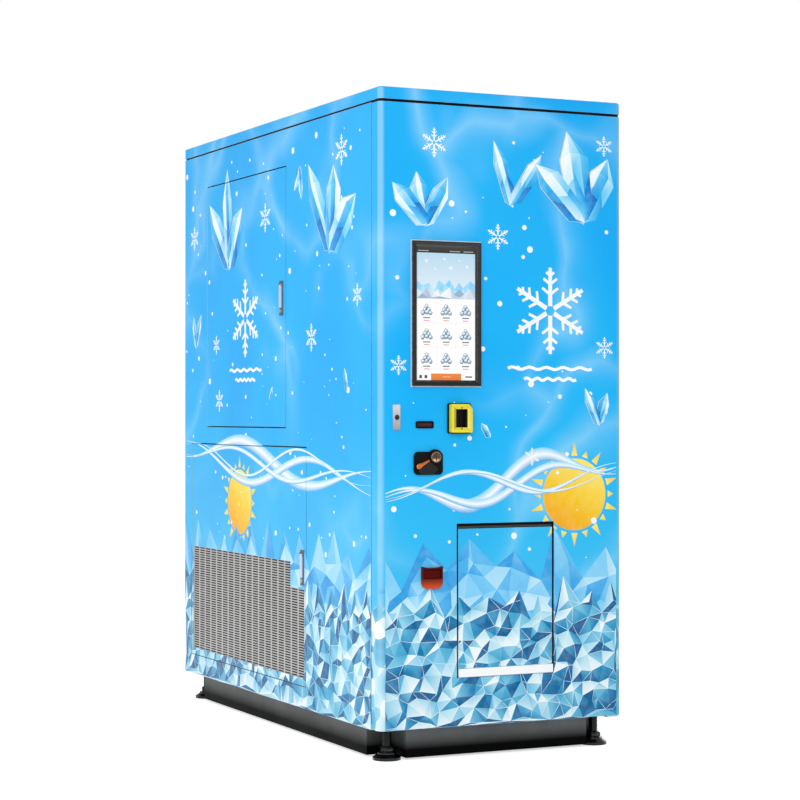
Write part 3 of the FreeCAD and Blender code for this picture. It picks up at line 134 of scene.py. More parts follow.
def calc(tree, operation, first, second=0.0, clamp=False):
    """Output of one math node."""
    return add(tree, "ShaderNodeMath", {0: first, 1: second}, operation=operation, use_clamp=clamp).outputs[0]


def combine(tree, operation, first, second):
    """Output of one vector math node: a number for a dot product, otherwise a vector."""
    made = add(tree, "ShaderNodeVectorMath", {0: first, 1: second}, operation=operation)
    return made.outputs["Value" if operation == "DOT_PRODUCT" else "Vector"]


def split(tree, vector):
    """Outputs X, Y and Z of a vector."""
    return add(tree, "ShaderNodeSeparateXYZ", {0: vector}).outputs


def tint(tree, factor, first, second):
    """Output of one colour mix."""
    return add(tree, "ShaderNodeMix", {0: factor, 6: first, 7: second}, data_type="RGBA",
               clamp_factor=True).outputs[2]


def ramp(tree, factor, stops):
    """Output of a colour ramp with (place, colour) stops."""
    made = add(tree, "ShaderNodeValToRGB", {0: factor})
    marks = made.color_ramp.elements
    while len(marks) < len(stops):
        marks.new(0.5)
    for mark, (place, colour) in zip(marks, stops):
        mark.position = place
        mark.color = colour
    return made.outputs[0]


def remap(tree, value, low, high, to_low=0.0, to_high=1.0):
    """Output of a clamped map range."""
    return add(tree, "ShaderNodeMapRange", {"Value": value, "From Min": low, "From Max": high,
                                            "To Min": to_low, "To Max": to_high}).outputs[0]


def object_place(tree, scale=(1, 1, 1)):
    """Object coordinates through a mapping."""
    spot = add(tree, "ShaderNodeTexCoord").outputs["Object"]
    return add(tree, "ShaderNodeMapping", {"Vector": spot, "Scale": scale}).outputs[0]


def noise(tree, place, scale, detail=3.0, rough=0.5, warp=0.0):
    """Output of a noise texture."""
    return add(tree, "ShaderNodeTexNoise", {"Vector": place, "Scale": scale, "Detail": detail, "Roughness": rough,
                                            "Distortion": warp}).outputs["Fac"]


def bumped(tree, strength, depth, height, normal):
    """Normal that follows a height of so many metres."""
    return add(tree, "ShaderNodeBump", {"Strength": strength, "Distance": depth, "Height": height,
                                        "Normal": normal}).outputs[0]


# Shader groups: effects that several finishes share
def new_group(name, inputs):
    """Empty shader group with named float inputs, and the outputs of its entry."""
    tree = bpy.data.node_groups.new(name, "ShaderNodeTree")
    for label, default in inputs.items():
        tree.interface.new_socket(label, in_out="INPUT", socket_type="NodeSocketFloat").default_value = default
    return tree, tree.nodes.new("NodeGroupInput").outputs


def close_group(tree, results):
    """Gives a group its named outputs, floats apart from a normal."""
    for label in results:
        kind = "NodeSocketVector" if label == "Normal" else "NodeSocketFloat"
        tree.interface.new_socket(label, in_out="OUTPUT", socket_type=kind)
    leave = tree.nodes.new("NodeGroupOutput")
    for label, socket in results.items():
        tree.links.new(socket, leave.inputs[label])
    return tree


def dust_group():
    """Dust that settles low down, and smudges from handling."""
    tree, entry = new_group("Dust and smudges", {"Dust height": 0.5, "Dust": 0.2, "Smudge scale": 4.0})
    place = object_place(tree)
    level = split(tree, place)["Z"]
    low = calc(tree, "SUBTRACT", 1.0, calc(tree, "DIVIDE", level, entry["Dust height"]), clamp=True)
    cloud = remap(tree, noise(tree, place, 9.0, 5.0, 0.6), 0.35, 0.75)
    mask = calc(tree, "MULTIPLY", calc(tree, "MULTIPLY", low, cloud), entry["Dust"], clamp=True)
    smudge = noise(tree, place, entry["Smudge scale"], 4.0, 0.6, 0.6)
    return close_group(tree, {"Dust mask": mask, "Smudge": remap(tree, smudge, 0.3, 0.7)})


def grain_group():
    """Fine and coarse grain of a surface, and a broad mottle."""
    tree, entry = new_group("Fine grain", {"Grains per metre": 900.0, "Coarse share": 0.3})
    place = object_place(tree)
    fine = noise(tree, place, entry["Grains per metre"], 2.0)
    coarse = noise(tree, place, calc(tree, "DIVIDE", entry["Grains per metre"], 12.0), 3.0)
    height = calc(tree, "ADD", fine, calc(tree, "MULTIPLY", coarse, entry["Coarse share"]))
    return close_group(tree, {"Height": height, "Mottle": noise(tree, place, 7.0, 4.0, 0.6)})


def brush_group():
    """Upright lines of brushed metal."""
    tree, entry = new_group("Brush lines", {"Lines per metre": 2500.0, "Along": 30.0})
    spot = add(tree, "ShaderNodeTexCoord").outputs["Object"]
    stretch = add(tree, "ShaderNodeCombineXYZ", {0: entry["Lines per metre"], 1: entry["Lines per metre"],
                                                 2: entry["Along"]}).outputs[0]
    laid = combine(tree, "MULTIPLY", spot, stretch)
    return close_group(tree, {"Line": noise(tree, laid, 1.0, 3.0, 0.6)})


def edge_group():
    """Softened edges, and a broken mask along them that carries edge wear, and on the bezel and the coin guide a
    painted highlight.
    """
    tree, entry = new_group("Edge wear and highlights", {"Edge radius": 0.0015})
    rounded = add(tree, "ShaderNodeBevel", {"Radius": entry["Edge radius"]}, samples=6).outputs[0]
    flat = add(tree, "ShaderNodeNewGeometry").outputs["Normal"]
    same = combine(tree, "DOT_PRODUCT", rounded, flat)
    broken = noise(tree, object_place(tree), 130.0, 4.0)
    edge = calc(tree, "MULTIPLY", remap(tree, same, 0.97, 0.75), remap(tree, broken, 0.4, 0.6), clamp=True)
    return close_group(tree, {"Normal": rounded, "Edge": edge})


GROUPS = {}


def use_group(tree, key, **values):
    """Places one shared effect in a material."""
    made = add(tree, "ShaderNodeGroup", node_tree=GROUPS[key])
    for name, value in values.items():
        made.inputs[name.replace("_", " ").capitalize()].default_value = value
    return made.outputs


# Finishes
MICRON = 1e-6
DUST_COLOUR = srgb(176, 172, 164)
BARE_STEEL = srgb(204, 208, 210)
ICE = [srgb(*tone) for tone in (
    (0, 96, 148), (4, 130, 184), (72, 176, 214), (142, 210, 236), (206, 239, 248), (248, 253, 254))]
HAZE = [srgb(*tone) for tone in (
    (44, 158, 226), (84, 186, 240), (128, 208, 247), (170, 224, 250), (206, 238, 253))]
GEM = [srgb(*tone) for tone in (
    (0, 104, 190), (0, 142, 222), (40, 182, 242), (120, 212, 248), (200, 236, 250), (248, 253, 254))]
SNOW_WHITE = ICE[-1]
PRINT_TOP = 2.05
PRINT_MIDDLE = (0, 0, 1.02)


def new_material(name):
    """Empty material with its shader and output."""
    material = bpy.data.materials.new(name)
    material.use_nodes = True
    tree = material.node_tree
    tree.nodes.clear()
    shader = add(tree, "ShaderNodeBsdfPrincipled")
    add(tree, "ShaderNodeOutputMaterial", {"Surface": shader.outputs[0]})
    return material, tree, shader


def fill(shader, tree, **sockets):
    """Sets or links sockets of a shader, with spaces for underscores."""
    for name, value in sockets.items():
        join(tree, shader.inputs[name.replace("_", " ").title().replace("Ior", "IOR")], value)


def rough_by(tree, base, smudge, line=None):
    """Roughness that varies with handling, and with brush lines where there are any."""
    clean_gain, by_smudge, by_line = 0.05, 0.12, 0.25
    value = calc(tree, "ADD", base - clean_gain, calc(tree, "MULTIPLY", smudge, by_smudge))
    if line is not None:
        value = calc(tree, "ADD", value, calc(tree, "MULTIPLY", calc(tree, "SUBTRACT", line, 0.5), by_line))
    return value


def linear(colour):
    """Linear colour with alpha, from three screen values or from a colour property."""
    return srgb(*colour) if len(colour) == 3 else tuple(colour)


def finish_of(name, colour, roughness, metallic=0.0, grain=900.0, relief=60, edge=0.0012, edge_wear_and_highlight=None, dust=0.15,
              vary=0.12, brush=None, coat=0.0, fade=None, shine=0.5, cut=None):
    """Procedural finish: mottle, grain or brush lines, edge wear with a painted edge highlight on some finishes,
    dust and smudges.

    relief is the depth of the grain in micrometres, edge the radius of soft edges; the edge colour gives the
    colour of edge wear, and on the bezel and the coin guide of a painted highlight; fade is (low level, high
    level, colour below), a change of colour with height that is painted shade on the kick plates, lock plate and
    coin cup; and cut is the colour of faces that don't face sideways, painted shade in the grille's slots.
    """
    material, tree, shader = new_material(name)
    settled = use_group(tree, "dust", dust=dust)
    grained = use_group(tree, "grain", grains_per_metre=grain)
    edges = use_group(tree, "edge", edge_radius=edge)
    light = linear(colour)
    dark = tuple(channel * (1 - 2 * vary) for channel in light[:3]) + (1.0,)
    body = tint(tree, remap(tree, grained["Mottle"], 0.3, 0.7), dark, light)
    line = None
    if brush:
        line = use_group(tree, "brush", lines_per_metre=brush)["Line"]
        body = tint(tree, remap(tree, line, 0.35, 0.65, 0.0, 0.35), body, dark)
    # Colour that changes with height: painted shade on the kick plates, lock plate and coin cup.
    if fade:
        low, high, shade = fade
        level = split(tree, object_place(tree))["Z"]
        body = tint(tree, remap(tree, level, low, high), linear(shade), body)
    # Edge colour: edge wear on most finishes, a painted highlight on the bezel and the coin guide.
    if edge_wear_and_highlight:
        body = tint(tree, edges["Edge"], body, linear(edge_wear_and_highlight))
    # Faces that don't face sideways, such as the grille's slot walls, take the cut colour, a painted shade.
    if cut:
        sideways = split(tree, add(tree, "ShaderNodeNewGeometry").outputs["True Normal"])["X"]
        body = tint(tree, remap(tree, calc(tree, "ABSOLUTE", sideways), 0.3, 0.7), linear(cut), body)
    body = tint(tree, settled["Dust mask"], body, DUST_COLOUR)
    bump = bumped(tree, 0.5, relief * MICRON, line or grained["Height"], edges["Normal"])
    fill(shader, tree, base_color=body, roughness=rough_by(tree, roughness, settled["Smudge"], line), normal=bump,
         metallic=metallic, coat_weight=coat, specular_ior_level=shine)
    return material


def sky_paint(tree, colours, place, level):
    """Sky of the print, with soft light patches and bright bent lines between them."""
    sky = ramp(tree, calc(tree, "DIVIDE", level, PRINT_TOP), (
        (0.05, tuple(colours.sky_low)), (0.33, srgb(40, 186, 242)), (0.50, tuple(colours.sky_mid)),
        (0.78, srgb(0, 171, 244)), (1.0, tuple(colours.sky_top))))
    patch = noise(tree, object_place(tree, (1, 1, 0.7)), 1.5, 3.0, 0.5, 0.4)
    sky = tint(tree, remap(tree, patch, 0.40, 0.72, 0.0, 0.30), sky, srgb(52, 202, 250))
    sky = tint(tree, remap(tree, patch, 0.50, 0.22, 0.0, 0.35), sky, srgb(0, 150, 234))
    swirl = add(tree, "ShaderNodeTexNoise", {"Vector": place, "Scale": 1.7, "Detail": 2.0}).outputs["Color"]
    bent = combine(tree, "ADD", place, swirl)
    cells = add(tree, "ShaderNodeTexVoronoi", {"Vector": bent, "Scale": 1.5}, feature="DISTANCE_TO_EDGE")
    lit = remap(tree, cells.outputs["Distance"], 0.16, 0.0)
    lit = calc(tree, "MULTIPLY", calc(tree, "MULTIPLY", lit, lit), remap(tree, patch, 0.42, 0.66))
    return tint(tree, calc(tree, "MULTIPLY", lit, 0.36), sky, srgb(190, 236, 255))


def shard_paint(tree, level, sky):
    """Ice shards in place of the sky low down, for the edges that the ridge foils leave free."""
    shards = add(tree, "ShaderNodeTexVoronoi", {"Vector": object_place(tree, (1, 1, 0.8)), "Scale": 26.0})
    pick = add(tree, "ShaderNodeSeparateColor", {0: shards.outputs["Color"]}).outputs[0]
    ice = ramp(tree, calc(tree, "ADD", pick, calc(tree, "MULTIPLY", shards.outputs["Distance"], 0.3)),
               [(n / (len(ICE) - 1), tone) for n, tone in enumerate(ICE)])
    ragged = calc(tree, "ADD", level, calc(tree, "MULTIPLY", pick, 0.08))
    return tint(tree, remap(tree, ragged, 0.53, 0.50), sky, ice)


def print_finish(colours):
    """Gloss print on the outer faces of steel sheet, with a painted sheen that makes it paler round the bent
    corners, and bare inside.
    """
    material, tree, shader = new_material("gloss_print")
    settled = use_group(tree, "dust", dust=0.10, dust_height=0.35)
    edges = use_group(tree, "edge", edge_radius=0.0016)
    place = object_place(tree)
    level = split(tree, place)["Z"]
    body = shard_paint(tree, level, sky_paint(tree, colours, place, level))
    facing = add(tree, "ShaderNodeTexCoord").outputs["Normal"]
    outward = combine(tree, "DOT_PRODUCT", combine(tree, "SUBTRACT", place, PRINT_MIDDLE), facing)
    body = tint(tree, remap(tree, outward, 0.0, -0.02), body, BARE_STEEL)
    across = split(tree, facing)
    # Painted sheen: where the sheet bends round a corner, the print turns towards pale grey.
    corner_sheen_mask = calc(tree, "ABSOLUTE", calc(tree, "MULTIPLY", across["X"], across["Y"]))
    body = tint(tree, remap(tree, corner_sheen_mask, 0.0, 0.5, 0.0, 0.30), body, srgb(200, 210, 216))
    body = tint(tree, edges["Edge"], body, srgb(150, 205, 228))
    body = tint(tree, settled["Dust mask"], body, DUST_COLOUR)
    bump = bumped(tree, 0.12, 50 * MICRON, noise(tree, place, 260.0, 2.0), edges["Normal"])
    fill(shader, tree, base_color=body, roughness=rough_by(tree, 0.34, settled["Smudge"]), normal=bump,
         specular_ior_level=0.25, coat_weight=0.06, coat_roughness=0.15)
    return material


def ink_finish(name):
    """Foil printed in the colours of the piece's own tint attribute."""
    material, tree, shader = new_material(name)
    paint = add(tree, "ShaderNodeVertexColor", layer_name="tint").outputs["Color"]
    settled = use_group(tree, "dust", dust=0.03, dust_height=0.35)
    speck = noise(tree, object_place(tree), 38.0, 4.0, 0.6)
    body = tint(tree, remap(tree, speck, 0.40, 0.75, 0.0, 0.08), paint, srgb(255, 255, 255))
    body = tint(tree, settled["Dust mask"], body, DUST_COLOUR)
    fill(shader, tree, base_color=body, roughness=rough_by(tree, 0.34, settled["Smudge"]),
         specular_ior_level=0.14, coat_weight=0.04, coat_roughness=0.15)
    return material


def screen_finish():
    """Lit picture in the colours of the piece's own tint attribute."""
    material, tree, shader = new_material("lit_screen")
    paint = add(tree, "ShaderNodeVertexColor", layer_name="tint").outputs["Color"]
    fill(shader, tree, base_color=tint(tree, 0.6, paint, srgb(8, 10, 12)), roughness=0.22, coat_weight=0.3,
         emission_color=paint, emission_strength=0.62)
    return material


FINISH = {}


def make_finishes(colours):
    """All finishes of the cabinet, by the name of what they cover."""
    lock_low, lock_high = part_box("lock_plate")
    table = {
        "frame": ("frame_paint", (46, 47, 50), 0.45, dict(edge_wear_and_highlight=(120, 120, 118), dust=0.3)),
        # Kick plates: grey that fades to near black towards the floor, a painted shadow under the cabinet.
        "kick": ("kick_paint", (134, 135, 134), 0.5, dict(dust=0.0, fade=(0.030, 0.098, (1, 1, 1)), shine=0.04)),
        "pale": ("pale_paint", (206, 212, 216), 0.42, dict(grain=500.0, edge_wear_and_highlight=(150, 150, 148), vary=0.05)),
        "black": ("black_moulding", (7, 7, 8), 0.44, dict(relief=100, edge_wear_and_highlight=(34, 34, 36), dust=0.02, shine=0.12)),
        # Display bezel: its pale blue-white edge colour is a painted highlight along the edges.
        "bezel": ("bezel_moulding", (20, 20, 22), 0.26,
                  dict(relief=40, edge=0.0024, edge_wear_and_highlight=(168, 190, 200), coat=0.5)),
        # Handle plates: dark bluish steel, so that their edges beside the grips read as shade, a painted shade.
        "dark_steel": ("dark_steel", (98, 108, 116), 0.4, dict(metallic=0.6, relief=30, edge_wear_and_highlight=(150, 156, 160))),
        "gloss": ("gloss_frame", (9, 9, 10), 0.22, dict(relief=10, dust=0.0)),
        "gunmetal": ("gunmetal", (74, 58, 60), 0.34, dict(metallic=0.7, relief=30, edge_wear_and_highlight=(150, 138, 138))),
        # Lock plate and lock ring: white at the top of the lock plate, fading to grey at its bottom, a painted
        # shade.
        "satin": ("satin_plate", (232, 232, 234), 0.34,
                  dict(metallic=0.35, relief=20, edge=0.0016, brush=1800.0, dust=0.03, vary=0.06,
                       fade=(lock_low.z, lock_high.z, (158, 162, 166)))),
        "grip": ("satin_grip", (206, 220, 240), 0.36,
                 dict(metallic=0.25, relief=20, edge=0.0016, brush=2200.0, dust=0.04, vary=0.08)),
        # Coin guide: its pale bronze edge colour is a painted highlight along the edges.
        "guide": ("coin_guide", (26, 25, 25), 0.4, dict(edge_wear_and_highlight=(196, 172, 140), shine=0.25)),
        "rail": ("note_rail", (40, 30, 18), 0.45, dict(relief=40, edge_wear_and_highlight=(150, 120, 70), shine=0.25)),
        "glass": ("dark_glass", (10, 12, 15), 0.08, dict(relief=10, coat=0.6, dust=0.0)),
        "steel": ("brushed_steel", (196, 198, 200), 0.30,
                  dict(metallic=1.0, relief=30, edge=0.0018, brush=2200.0, dust=0.05)),
        "yellow": ("yellow_moulding", colours.reader, 0.30,
                   dict(relief=40, edge_wear_and_highlight=(252, 246, 150), coat=0.2, vary=0.06)),
        "bronze": ("bronze_disc", (150, 118, 92), 0.32, dict(metallic=0.8, relief=40, edge_wear_and_highlight=(214, 180, 140))),
        "copper": ("copper_lever", colours.lever, 0.26, dict(metallic=0.65, relief=30, edge=0.002)),
        # Coin cup: the dark red above the lip is painted shade inside the cup; the lip below keeps the cup colour.
        "red": ("red_moulding", (86, 8, 7), 0.34,
                dict(relief=40, dust=0.0, shine=0.15, fade=(0.526, 0.554, colours.cup))),
        "dark_red": ("dark_red_lens", (74, 18, 18), 0.2, dict(relief=10, dust=0.0, shine=0.35)),
        "flap_red": ("cup_flap", (92, 10, 8), 0.55, dict(relief=40, dust=0.0, shine=0.06)),
        "white": ("white_moulding", (232, 236, 238), 0.38, dict(vary=0.04)),
        "bright": ("bright_rail", (253, 254, 254), 0.34, dict(relief=30, dust=0.02, vary=0.01)),
        # Grille: slot walls, which don't face sideways, are near black, a painted shade in the slots.
        "grille": ("grille_sheet", (184, 182, 179), 0.42,
                   dict(metallic=0.35, relief=30, edge=0.0002, brush=900.0, dust=0.06, vary=0.06,
                        cut=(10, 10, 10))),
        "filter": ("filter_foam", (5, 5, 5), 0.9, dict(grain=420.0, relief=1200, dust=0.02, shine=0.1)),
        "rubber": ("seal_rubber", (20, 20, 21), 0.7, dict(relief=100)),
        "foot": ("foot_enamel", (4, 4, 5), 0.15, dict(relief=10, coat=0.2, dust=0.0, shine=0.3)),
        "aluminium": ("mill_aluminium", (200, 203, 206), 0.36, dict(metallic=1.0, brush=1500.0, relief=40)),
        "motor": ("motor_enamel", (28, 29, 32), 0.28, dict(relief=100, coat=0.3, edge_wear_and_highlight=(88, 88, 90))),
        "brass": ("cast_brass", (196, 160, 88), 0.34, dict(metallic=1.0, grain=500.0, relief=100)),
        "bin": ("bin_moulding", (222, 232, 238), 0.44, dict(grain=300.0, relief=200, vary=0.05)),
        "white_ink": ("white_foil", colours.ink_white, 0.34, dict(vary=0.03, relief=10, dust=0.08, edge=0.0004)),
    }
    FINISH.update({key: finish_of(*row[:3], **row[3]) for key, row in table.items()})
    # The tinted moulding carries painted light: the lit and shaded reader lining and the reflection on the coin
    # disc face.
    FINISH.update(print=print_finish(colours), ink=ink_finish("printed_foil"), screen=screen_finish(),
                  tinted=ink_finish("painted_light_moulding"))


NODE_FINISH = {
    "print": ("left_panel", "right_panel", "top_cap", "door_shell", "pickup_flap", "upper_hatch", "lower_hatch"),
    "frame": ("tube_frame", "floor_deck", "fan_shroud", "flap_rod"),
    "kick": ("kick_plates",),
    "pale": ("rear_panel", "control_box"),
    "black": ("roof_plate", "window_bezel", "bill_unit", "coin_unit", "mains_inlet", "pickup_frame"),
    "bezel": ("display_bezel",),
    "glass": ("display_unit",),
    "steel": ("door_pivots", "hatch_pivots", "upper_latch", "lower_latch", "chute_gate", "auger",
              "ice_maker_stand", "panel_screws"),
    "satin": ("lock_plate",),
    "dark_steel": ("upper_handle", "lower_handle"),
    "grip": ("upper_grip", "lower_grip"),
    "gunmetal": ("lock_barrel",),
    "yellow": ("reader_bezel",),
    "bronze": ("coin_disc",),
    "copper": ("coin_lever",),
    "red": ("coin_cup",),
    "dark_red": ("window_lens",),
    "flap_red": ("coin_flap",),
    "white": ("water_trough", "drain_outlet"),
    "bright": ("flap_rail",),
    "grille": ("intake_grille",),
    "filter": ("intake_filter",),
    "rubber": ("door_seal",),
    "foot": ("levelling_feet",),
    "aluminium": ("evaporator", "condenser_coil", "condenser_fan"),
    "motor": ("auger_motor", "fan_motor", "compressor"),
    "brass": ("water_inlet",),
    "bin": ("ice_bin", "ice_chute", "pickup_chamber"),
}


# Flat sides: a point is (along, up), seen from outside with along to the right
class Side:
    """One flat side of the cabinet."""

    def __init__(self, axis, level, along):
        self.axis = axis
        self.level = level
        self.along = along

    def at(self, u, v, lift=0.0):
        """Point in space that stands lift in front of the side."""
        stand = self.level + (-lift if self.level < 0 else lift)
        if self.axis == "y":
            return Vector((u * self.along, stand, v))
        return Vector((stand, u * self.along, v))

    def normal(self):
        """Direction out of the side."""
        return (self.at(0, 0, 1) - self.at(0, 0, 0)).normalized()


def front_of(node, back=0.0):
    """Side through the foremost point of a node, or so far behind it."""
    return Side("y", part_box(node)[0].y + back, 1)


FRONT = front_of("door_shell")
FLAP = front_of("pickup_flap")
GLASS = front_of("display_unit")
LEFT = Side("x", DOOR_LOW.x, -1)
RIGHT = Side("x", DOOR_HIGH.x, 1)
REAR = Side("y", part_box("rear_panel")[1].y, -1)


def span_of(node, side, margin=0.0):
    """Rectangle (u0, u1, v0, v1) that a node covers on a side."""
    low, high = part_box(node)
    if side.axis == "y":
        ends = (low.x, high.x)
    else:
        ends = sorted((low.y * side.along, high.y * side.along))
    return ends[0] - margin, ends[1] + margin, low.z - margin, high.z + margin


def middle_of(node):
    """Middle (along, up) of a node on the front."""
    u0, u1, v0, v1 = span_of(node, FRONT)
    return (u0 + u1) / 2, (v0 + v1) / 2


def shifted(rectangle, steps):
    """Rectangle with a step added to each of its limits."""
    return tuple(limit + step for limit, step in zip(rectangle, steps))


def corners_of(u0, u1, v0, v1):
    """Corners of a rectangle, anticlockwise from the lower left."""
    return (u0, v0), (u1, v0), (u1, v1), (u0, v1)


def windows(outer, holes):
    """Rectangles that cover the outer rectangle but none of the holes, cut into level bands."""
    touch = 1e-9
    levels = sorted({outer[2], outer[3]} | {v for hole in holes for v in hole[2:] if outer[2] < v < outer[3]})
    found = []
    for low, high in zip(levels, levels[1:]):
        start = outer[0]
        for hole in sorted(h for h in holes if h[2] < high - touch and h[3] > low + touch):
            if hole[0] > start:
                found.append((start, min(hole[0], outer[1]), low, high))
            start = max(start, hole[1])
        if start < outer[1]:
            found.append((start, outer[1], low, high))
    return found


def clip(corners, window):
    """Part of a convex polygon of (u, v, colour) corners inside a rectangle."""
    for which, sign, limit in ((0, 1, window[0]), (0, -1, window[1]), (1, 1, window[2]), (1, -1, window[3])):
        kept = []
        for one, two in zip(corners, corners[1:] + corners[:1]):
            inside = sign * (one[which] - limit)
            beyond = sign * (two[which] - limit)
            if inside >= 0:
                kept.append(one)
            if inside * beyond < 0:
                share = inside / (inside - beyond)
                mixed = tuple(a + share * (b - a) for a, b in zip(one[2], two[2]))
                kept.append((one[0] + share * (two[0] - one[0]), one[1] + share * (two[1] - one[1]), mixed))
        corners = kept
        if len(corners) < 3:
            return []
    return corners


def area(corners):
    """Signed area of a polygon."""
    return sum(a[0] * b[1] - b[0] * a[1] for a, b in zip(corners, corners[1:] + corners[:1])) / 2


# Pieces
def plain_mesh(name, mesh_maker):
    """Turns a finished bmesh into a mesh."""
    shape = bpy.data.meshes.new(name)
    mesh_maker.to_mesh(shape)
    mesh_maker.free()
    return shape


def seat(piece, body, smooth):
    """Rides a finished piece on a body, shaded smooth if asked."""
    if smooth:
        piece.data.shade_smooth()
    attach(piece, body)
    return piece


def settle(name, mesh_maker, body, material, smooth=False):
    """Turns a finished bmesh into a piece that rides on a body."""
    shape = plain_mesh(name, mesh_maker)
    shape.materials.append(material)
    piece = bpy.data.objects.new(name, shape)
    bpy.context.scene.collection.objects.link(piece)
    return seat(piece, body, smooth)


FOIL_GAP = 0.00002
FOIL_MERGE = 0.00002
SLIVER = 4e-7


def foil(name, polygons, side, areas, body, lift, material):
    """One thin printed layer on a side: coloured facets clipped to the areas, with a closed thickness."""
    mesh_maker = bmesh.new()
    layer = mesh_maker.loops.layers.float_color.new("tint")
    for polygon in polygons:
        for window in areas:
            corners = clip(polygon, window)
            if len(corners) < 3 or abs(area(corners)) < SLIVER:
                continue
            if area(corners) < 0:
                corners = corners[::-1]
            face = mesh_maker.faces.new([mesh_maker.verts.new(side.at(u, v, FOIL_GAP)) for u, v, _ in corners])
            for loop, corner in zip(face.loops, corners):
                loop[layer] = corner[2]
    if not mesh_maker.faces:
        mesh_maker.free()
        return
    bmesh.ops.remove_doubles(mesh_maker, verts=mesh_maker.verts[:], dist=FOIL_MERGE)
    raised = bmesh.ops.extrude_face_region(mesh_maker, geom=mesh_maker.faces[:], use_keep_orig=True)
    lifted = [item for item in raised["geom"] if isinstance(item, bmesh.types.BMVert)]
    bmesh.ops.translate(mesh_maker, verts=lifted, vec=side.normal() * lift)
    bmesh.ops.recalc_face_normals(mesh_maker, faces=mesh_maker.faces[:])
    settle(name, mesh_maker, body, material)


def round_points(radius, steps, turn=0.0):
    """Points on a circle about the origin."""
    angles = [2 * math.pi * n / steps + turn for n in range(steps)]
    return [(radius * math.cos(angle), radius * math.sin(angle)) for angle in angles]


def bridge(mesh_maker, one, two):
    """Faces between two rings of equally many corners."""
    for n in range(len(one)):
        after = (n + 1) % len(one)
        mesh_maker.faces.new((one[n], one[after], two[after], two[n]))


def loft(rings, capped=True, into=None):
    """Closed shape through rings of equally many points, capped at both ends or joined end to end."""
    mesh_maker = into or bmesh.new()
    made = [[mesh_maker.verts.new(point) for point in ring] for ring in rings]
    for one, two in zip(made, made[1:] if capped else made[1:] + made[:1]):
        bridge(mesh_maker, one, two)
    if capped:
        mesh_maker.faces.new(made[0][::-1])
        mesh_maker.faces.new(made[-1])
    bmesh.ops.recalc_face_normals(mesh_maker, faces=mesh_maker.faces[:])
    return mesh_maker


def turned_ring(side, at, profile, steps=32):
    """Closed ring with a profile of (radius, lift) corners round a point of a side."""
    return loft([[side.at(at[0] + a, at[1] + b, lift) for a, b in round_points(radius, steps)]
                 for radius, lift in profile], capped=False)


def raised_plate(side, outline, lifts):
    """Closed plate over an outline of (along, up) corners, through (shrink, lift) steps about its middle."""
    middle = [sum(corner[k] for corner in outline) / len(outline) for k in (0, 1)]
    return loft([[side.at(*(m + share * (c - m) for c, m in zip(corner, middle)), lift) for corner in outline]
                 for share, lift in lifts])


def mitred_frame(side, rectangle, profile):
    """Closed frame with square corners inside a rectangle, through (inset, lift) steps."""
    return loft([[side.at(u, v, lift) for u, v in corners_of(*shifted(rectangle, (inset, -inset, inset, -inset)))]
                 for inset, lift in profile], capped=False)


# Motifs as lists of convex polygons with a colour on each corner
def between(stops, share):
    """Colour at a share from 0 to 1 along equally spaced stops."""
    share = max(0.0, min(0.9999, share)) * (len(stops) - 1)
    first = int(share)
    return tuple(a + (share - first) * (b - a) for a, b in zip(stops[first], stops[first + 1]))


def stroke(points, widths, colour):
    """Strip of quads along points with a width at each."""
    paint = tuple(colour)
    rails = []
    for n, point in enumerate(points):
        ahead = Vector(points[min(n + 1, len(points) - 1)]) - Vector(points[max(n - 1, 0)])
        if ahead.length < 1e-9:
            ahead = Vector((1, 0))
        across = Vector((-ahead.y, ahead.x)).normalized() * widths[n] / 2
        rails.append(((point[0] + across.x, point[1] + across.y, paint),
                      (point[0] - across.x, point[1] - across.y, paint)))
    return [[one[1], two[1], two[0], one[0]] for one, two in zip(rails, rails[1:])]


SUN_LIGHT = Vector((-0.45, 0.62, 0.64))
RIM_WIDTHS = (0.0014, 0.0004)


def jagged_line(u0, u1, mean, swing, cell, draw):
    """Skyline of peaks and gaps by turns."""
    skyline = []
    u = u0
    tall = True
    while u < u1:
        skyline.append((u, mean + swing * (draw.uniform(0.2, 1.0) if tall else -draw.uniform(0.1, 0.9))))
        u += cell * draw.uniform(0.7, 1.7)
        tall = not tall
    return skyline + [(u1, mean)]


def ridge(u0, u1, v0, mean, swing, cell, tones, seed, rims):
    """Faceted crystal ridge with a jagged skyline: its facets, and thin light rims along some edges."""
    draw = random.Random(seed)
    skyline = jagged_line(u0, u1, mean, swing, cell, draw)
    outline = [(u0, v0), (u1, v0)] + skyline[::-1]

    def top(at):
        for left, right in zip(skyline, skyline[1:]):
            if left[0] <= at <= right[0]:
                return left[1] + (at - left[0]) / max(right[0] - left[0], 1e-9) * (right[1] - left[1])
        return mean

    jitter, end_rim, top_rim = 0.42, cell * 0.2, cell * 0.35
    spots = list(outline)
    rows = int((mean + swing - v0) / cell) + 1
    for row in range(rows):
        for column in range(int((u1 - u0) / cell)):
            at = u0 + (column + 0.5 + 0.5 * (row % 2) + draw.uniform(-jitter, jitter)) * cell
            up = v0 + (row + 0.4 + draw.uniform(-jitter, jitter)) * cell
            if u0 + end_rim < at < u1 - end_rim and up < top(at) - top_rim:
                spots.append((at, up))
    points, edges, faces, _, _, _ = delaunay_2d_cdt([Vector(s) for s in spots], [], [list(range(len(outline)))],
                                                    1, 1e-6)
    depth = [draw.uniform(0.0, 1.0) for _ in points]
    polygons = []
    for face in faces:
        a, b, c = (Vector((points[n].x, points[n].y, depth[n] * cell * 0.8)) for n in face)
        shade = (b - a).cross(c - a).normalized().dot(SUN_LIGHT)
        shade = 0.46 + (shade - 0.62) * 1.35 + draw.uniform(-0.2, 0.2)
        polygons.append([(points[n].x, points[n].y, between(tones, shade + (depth[n] - 0.5) * 0.42))
                         for n in face])
    lines = []
    for one, two in edges:
        if draw.random() < rims:
            lines += stroke([points[one], points[two]], RIM_WIDTHS, tones[-1])
    return polygons, lines


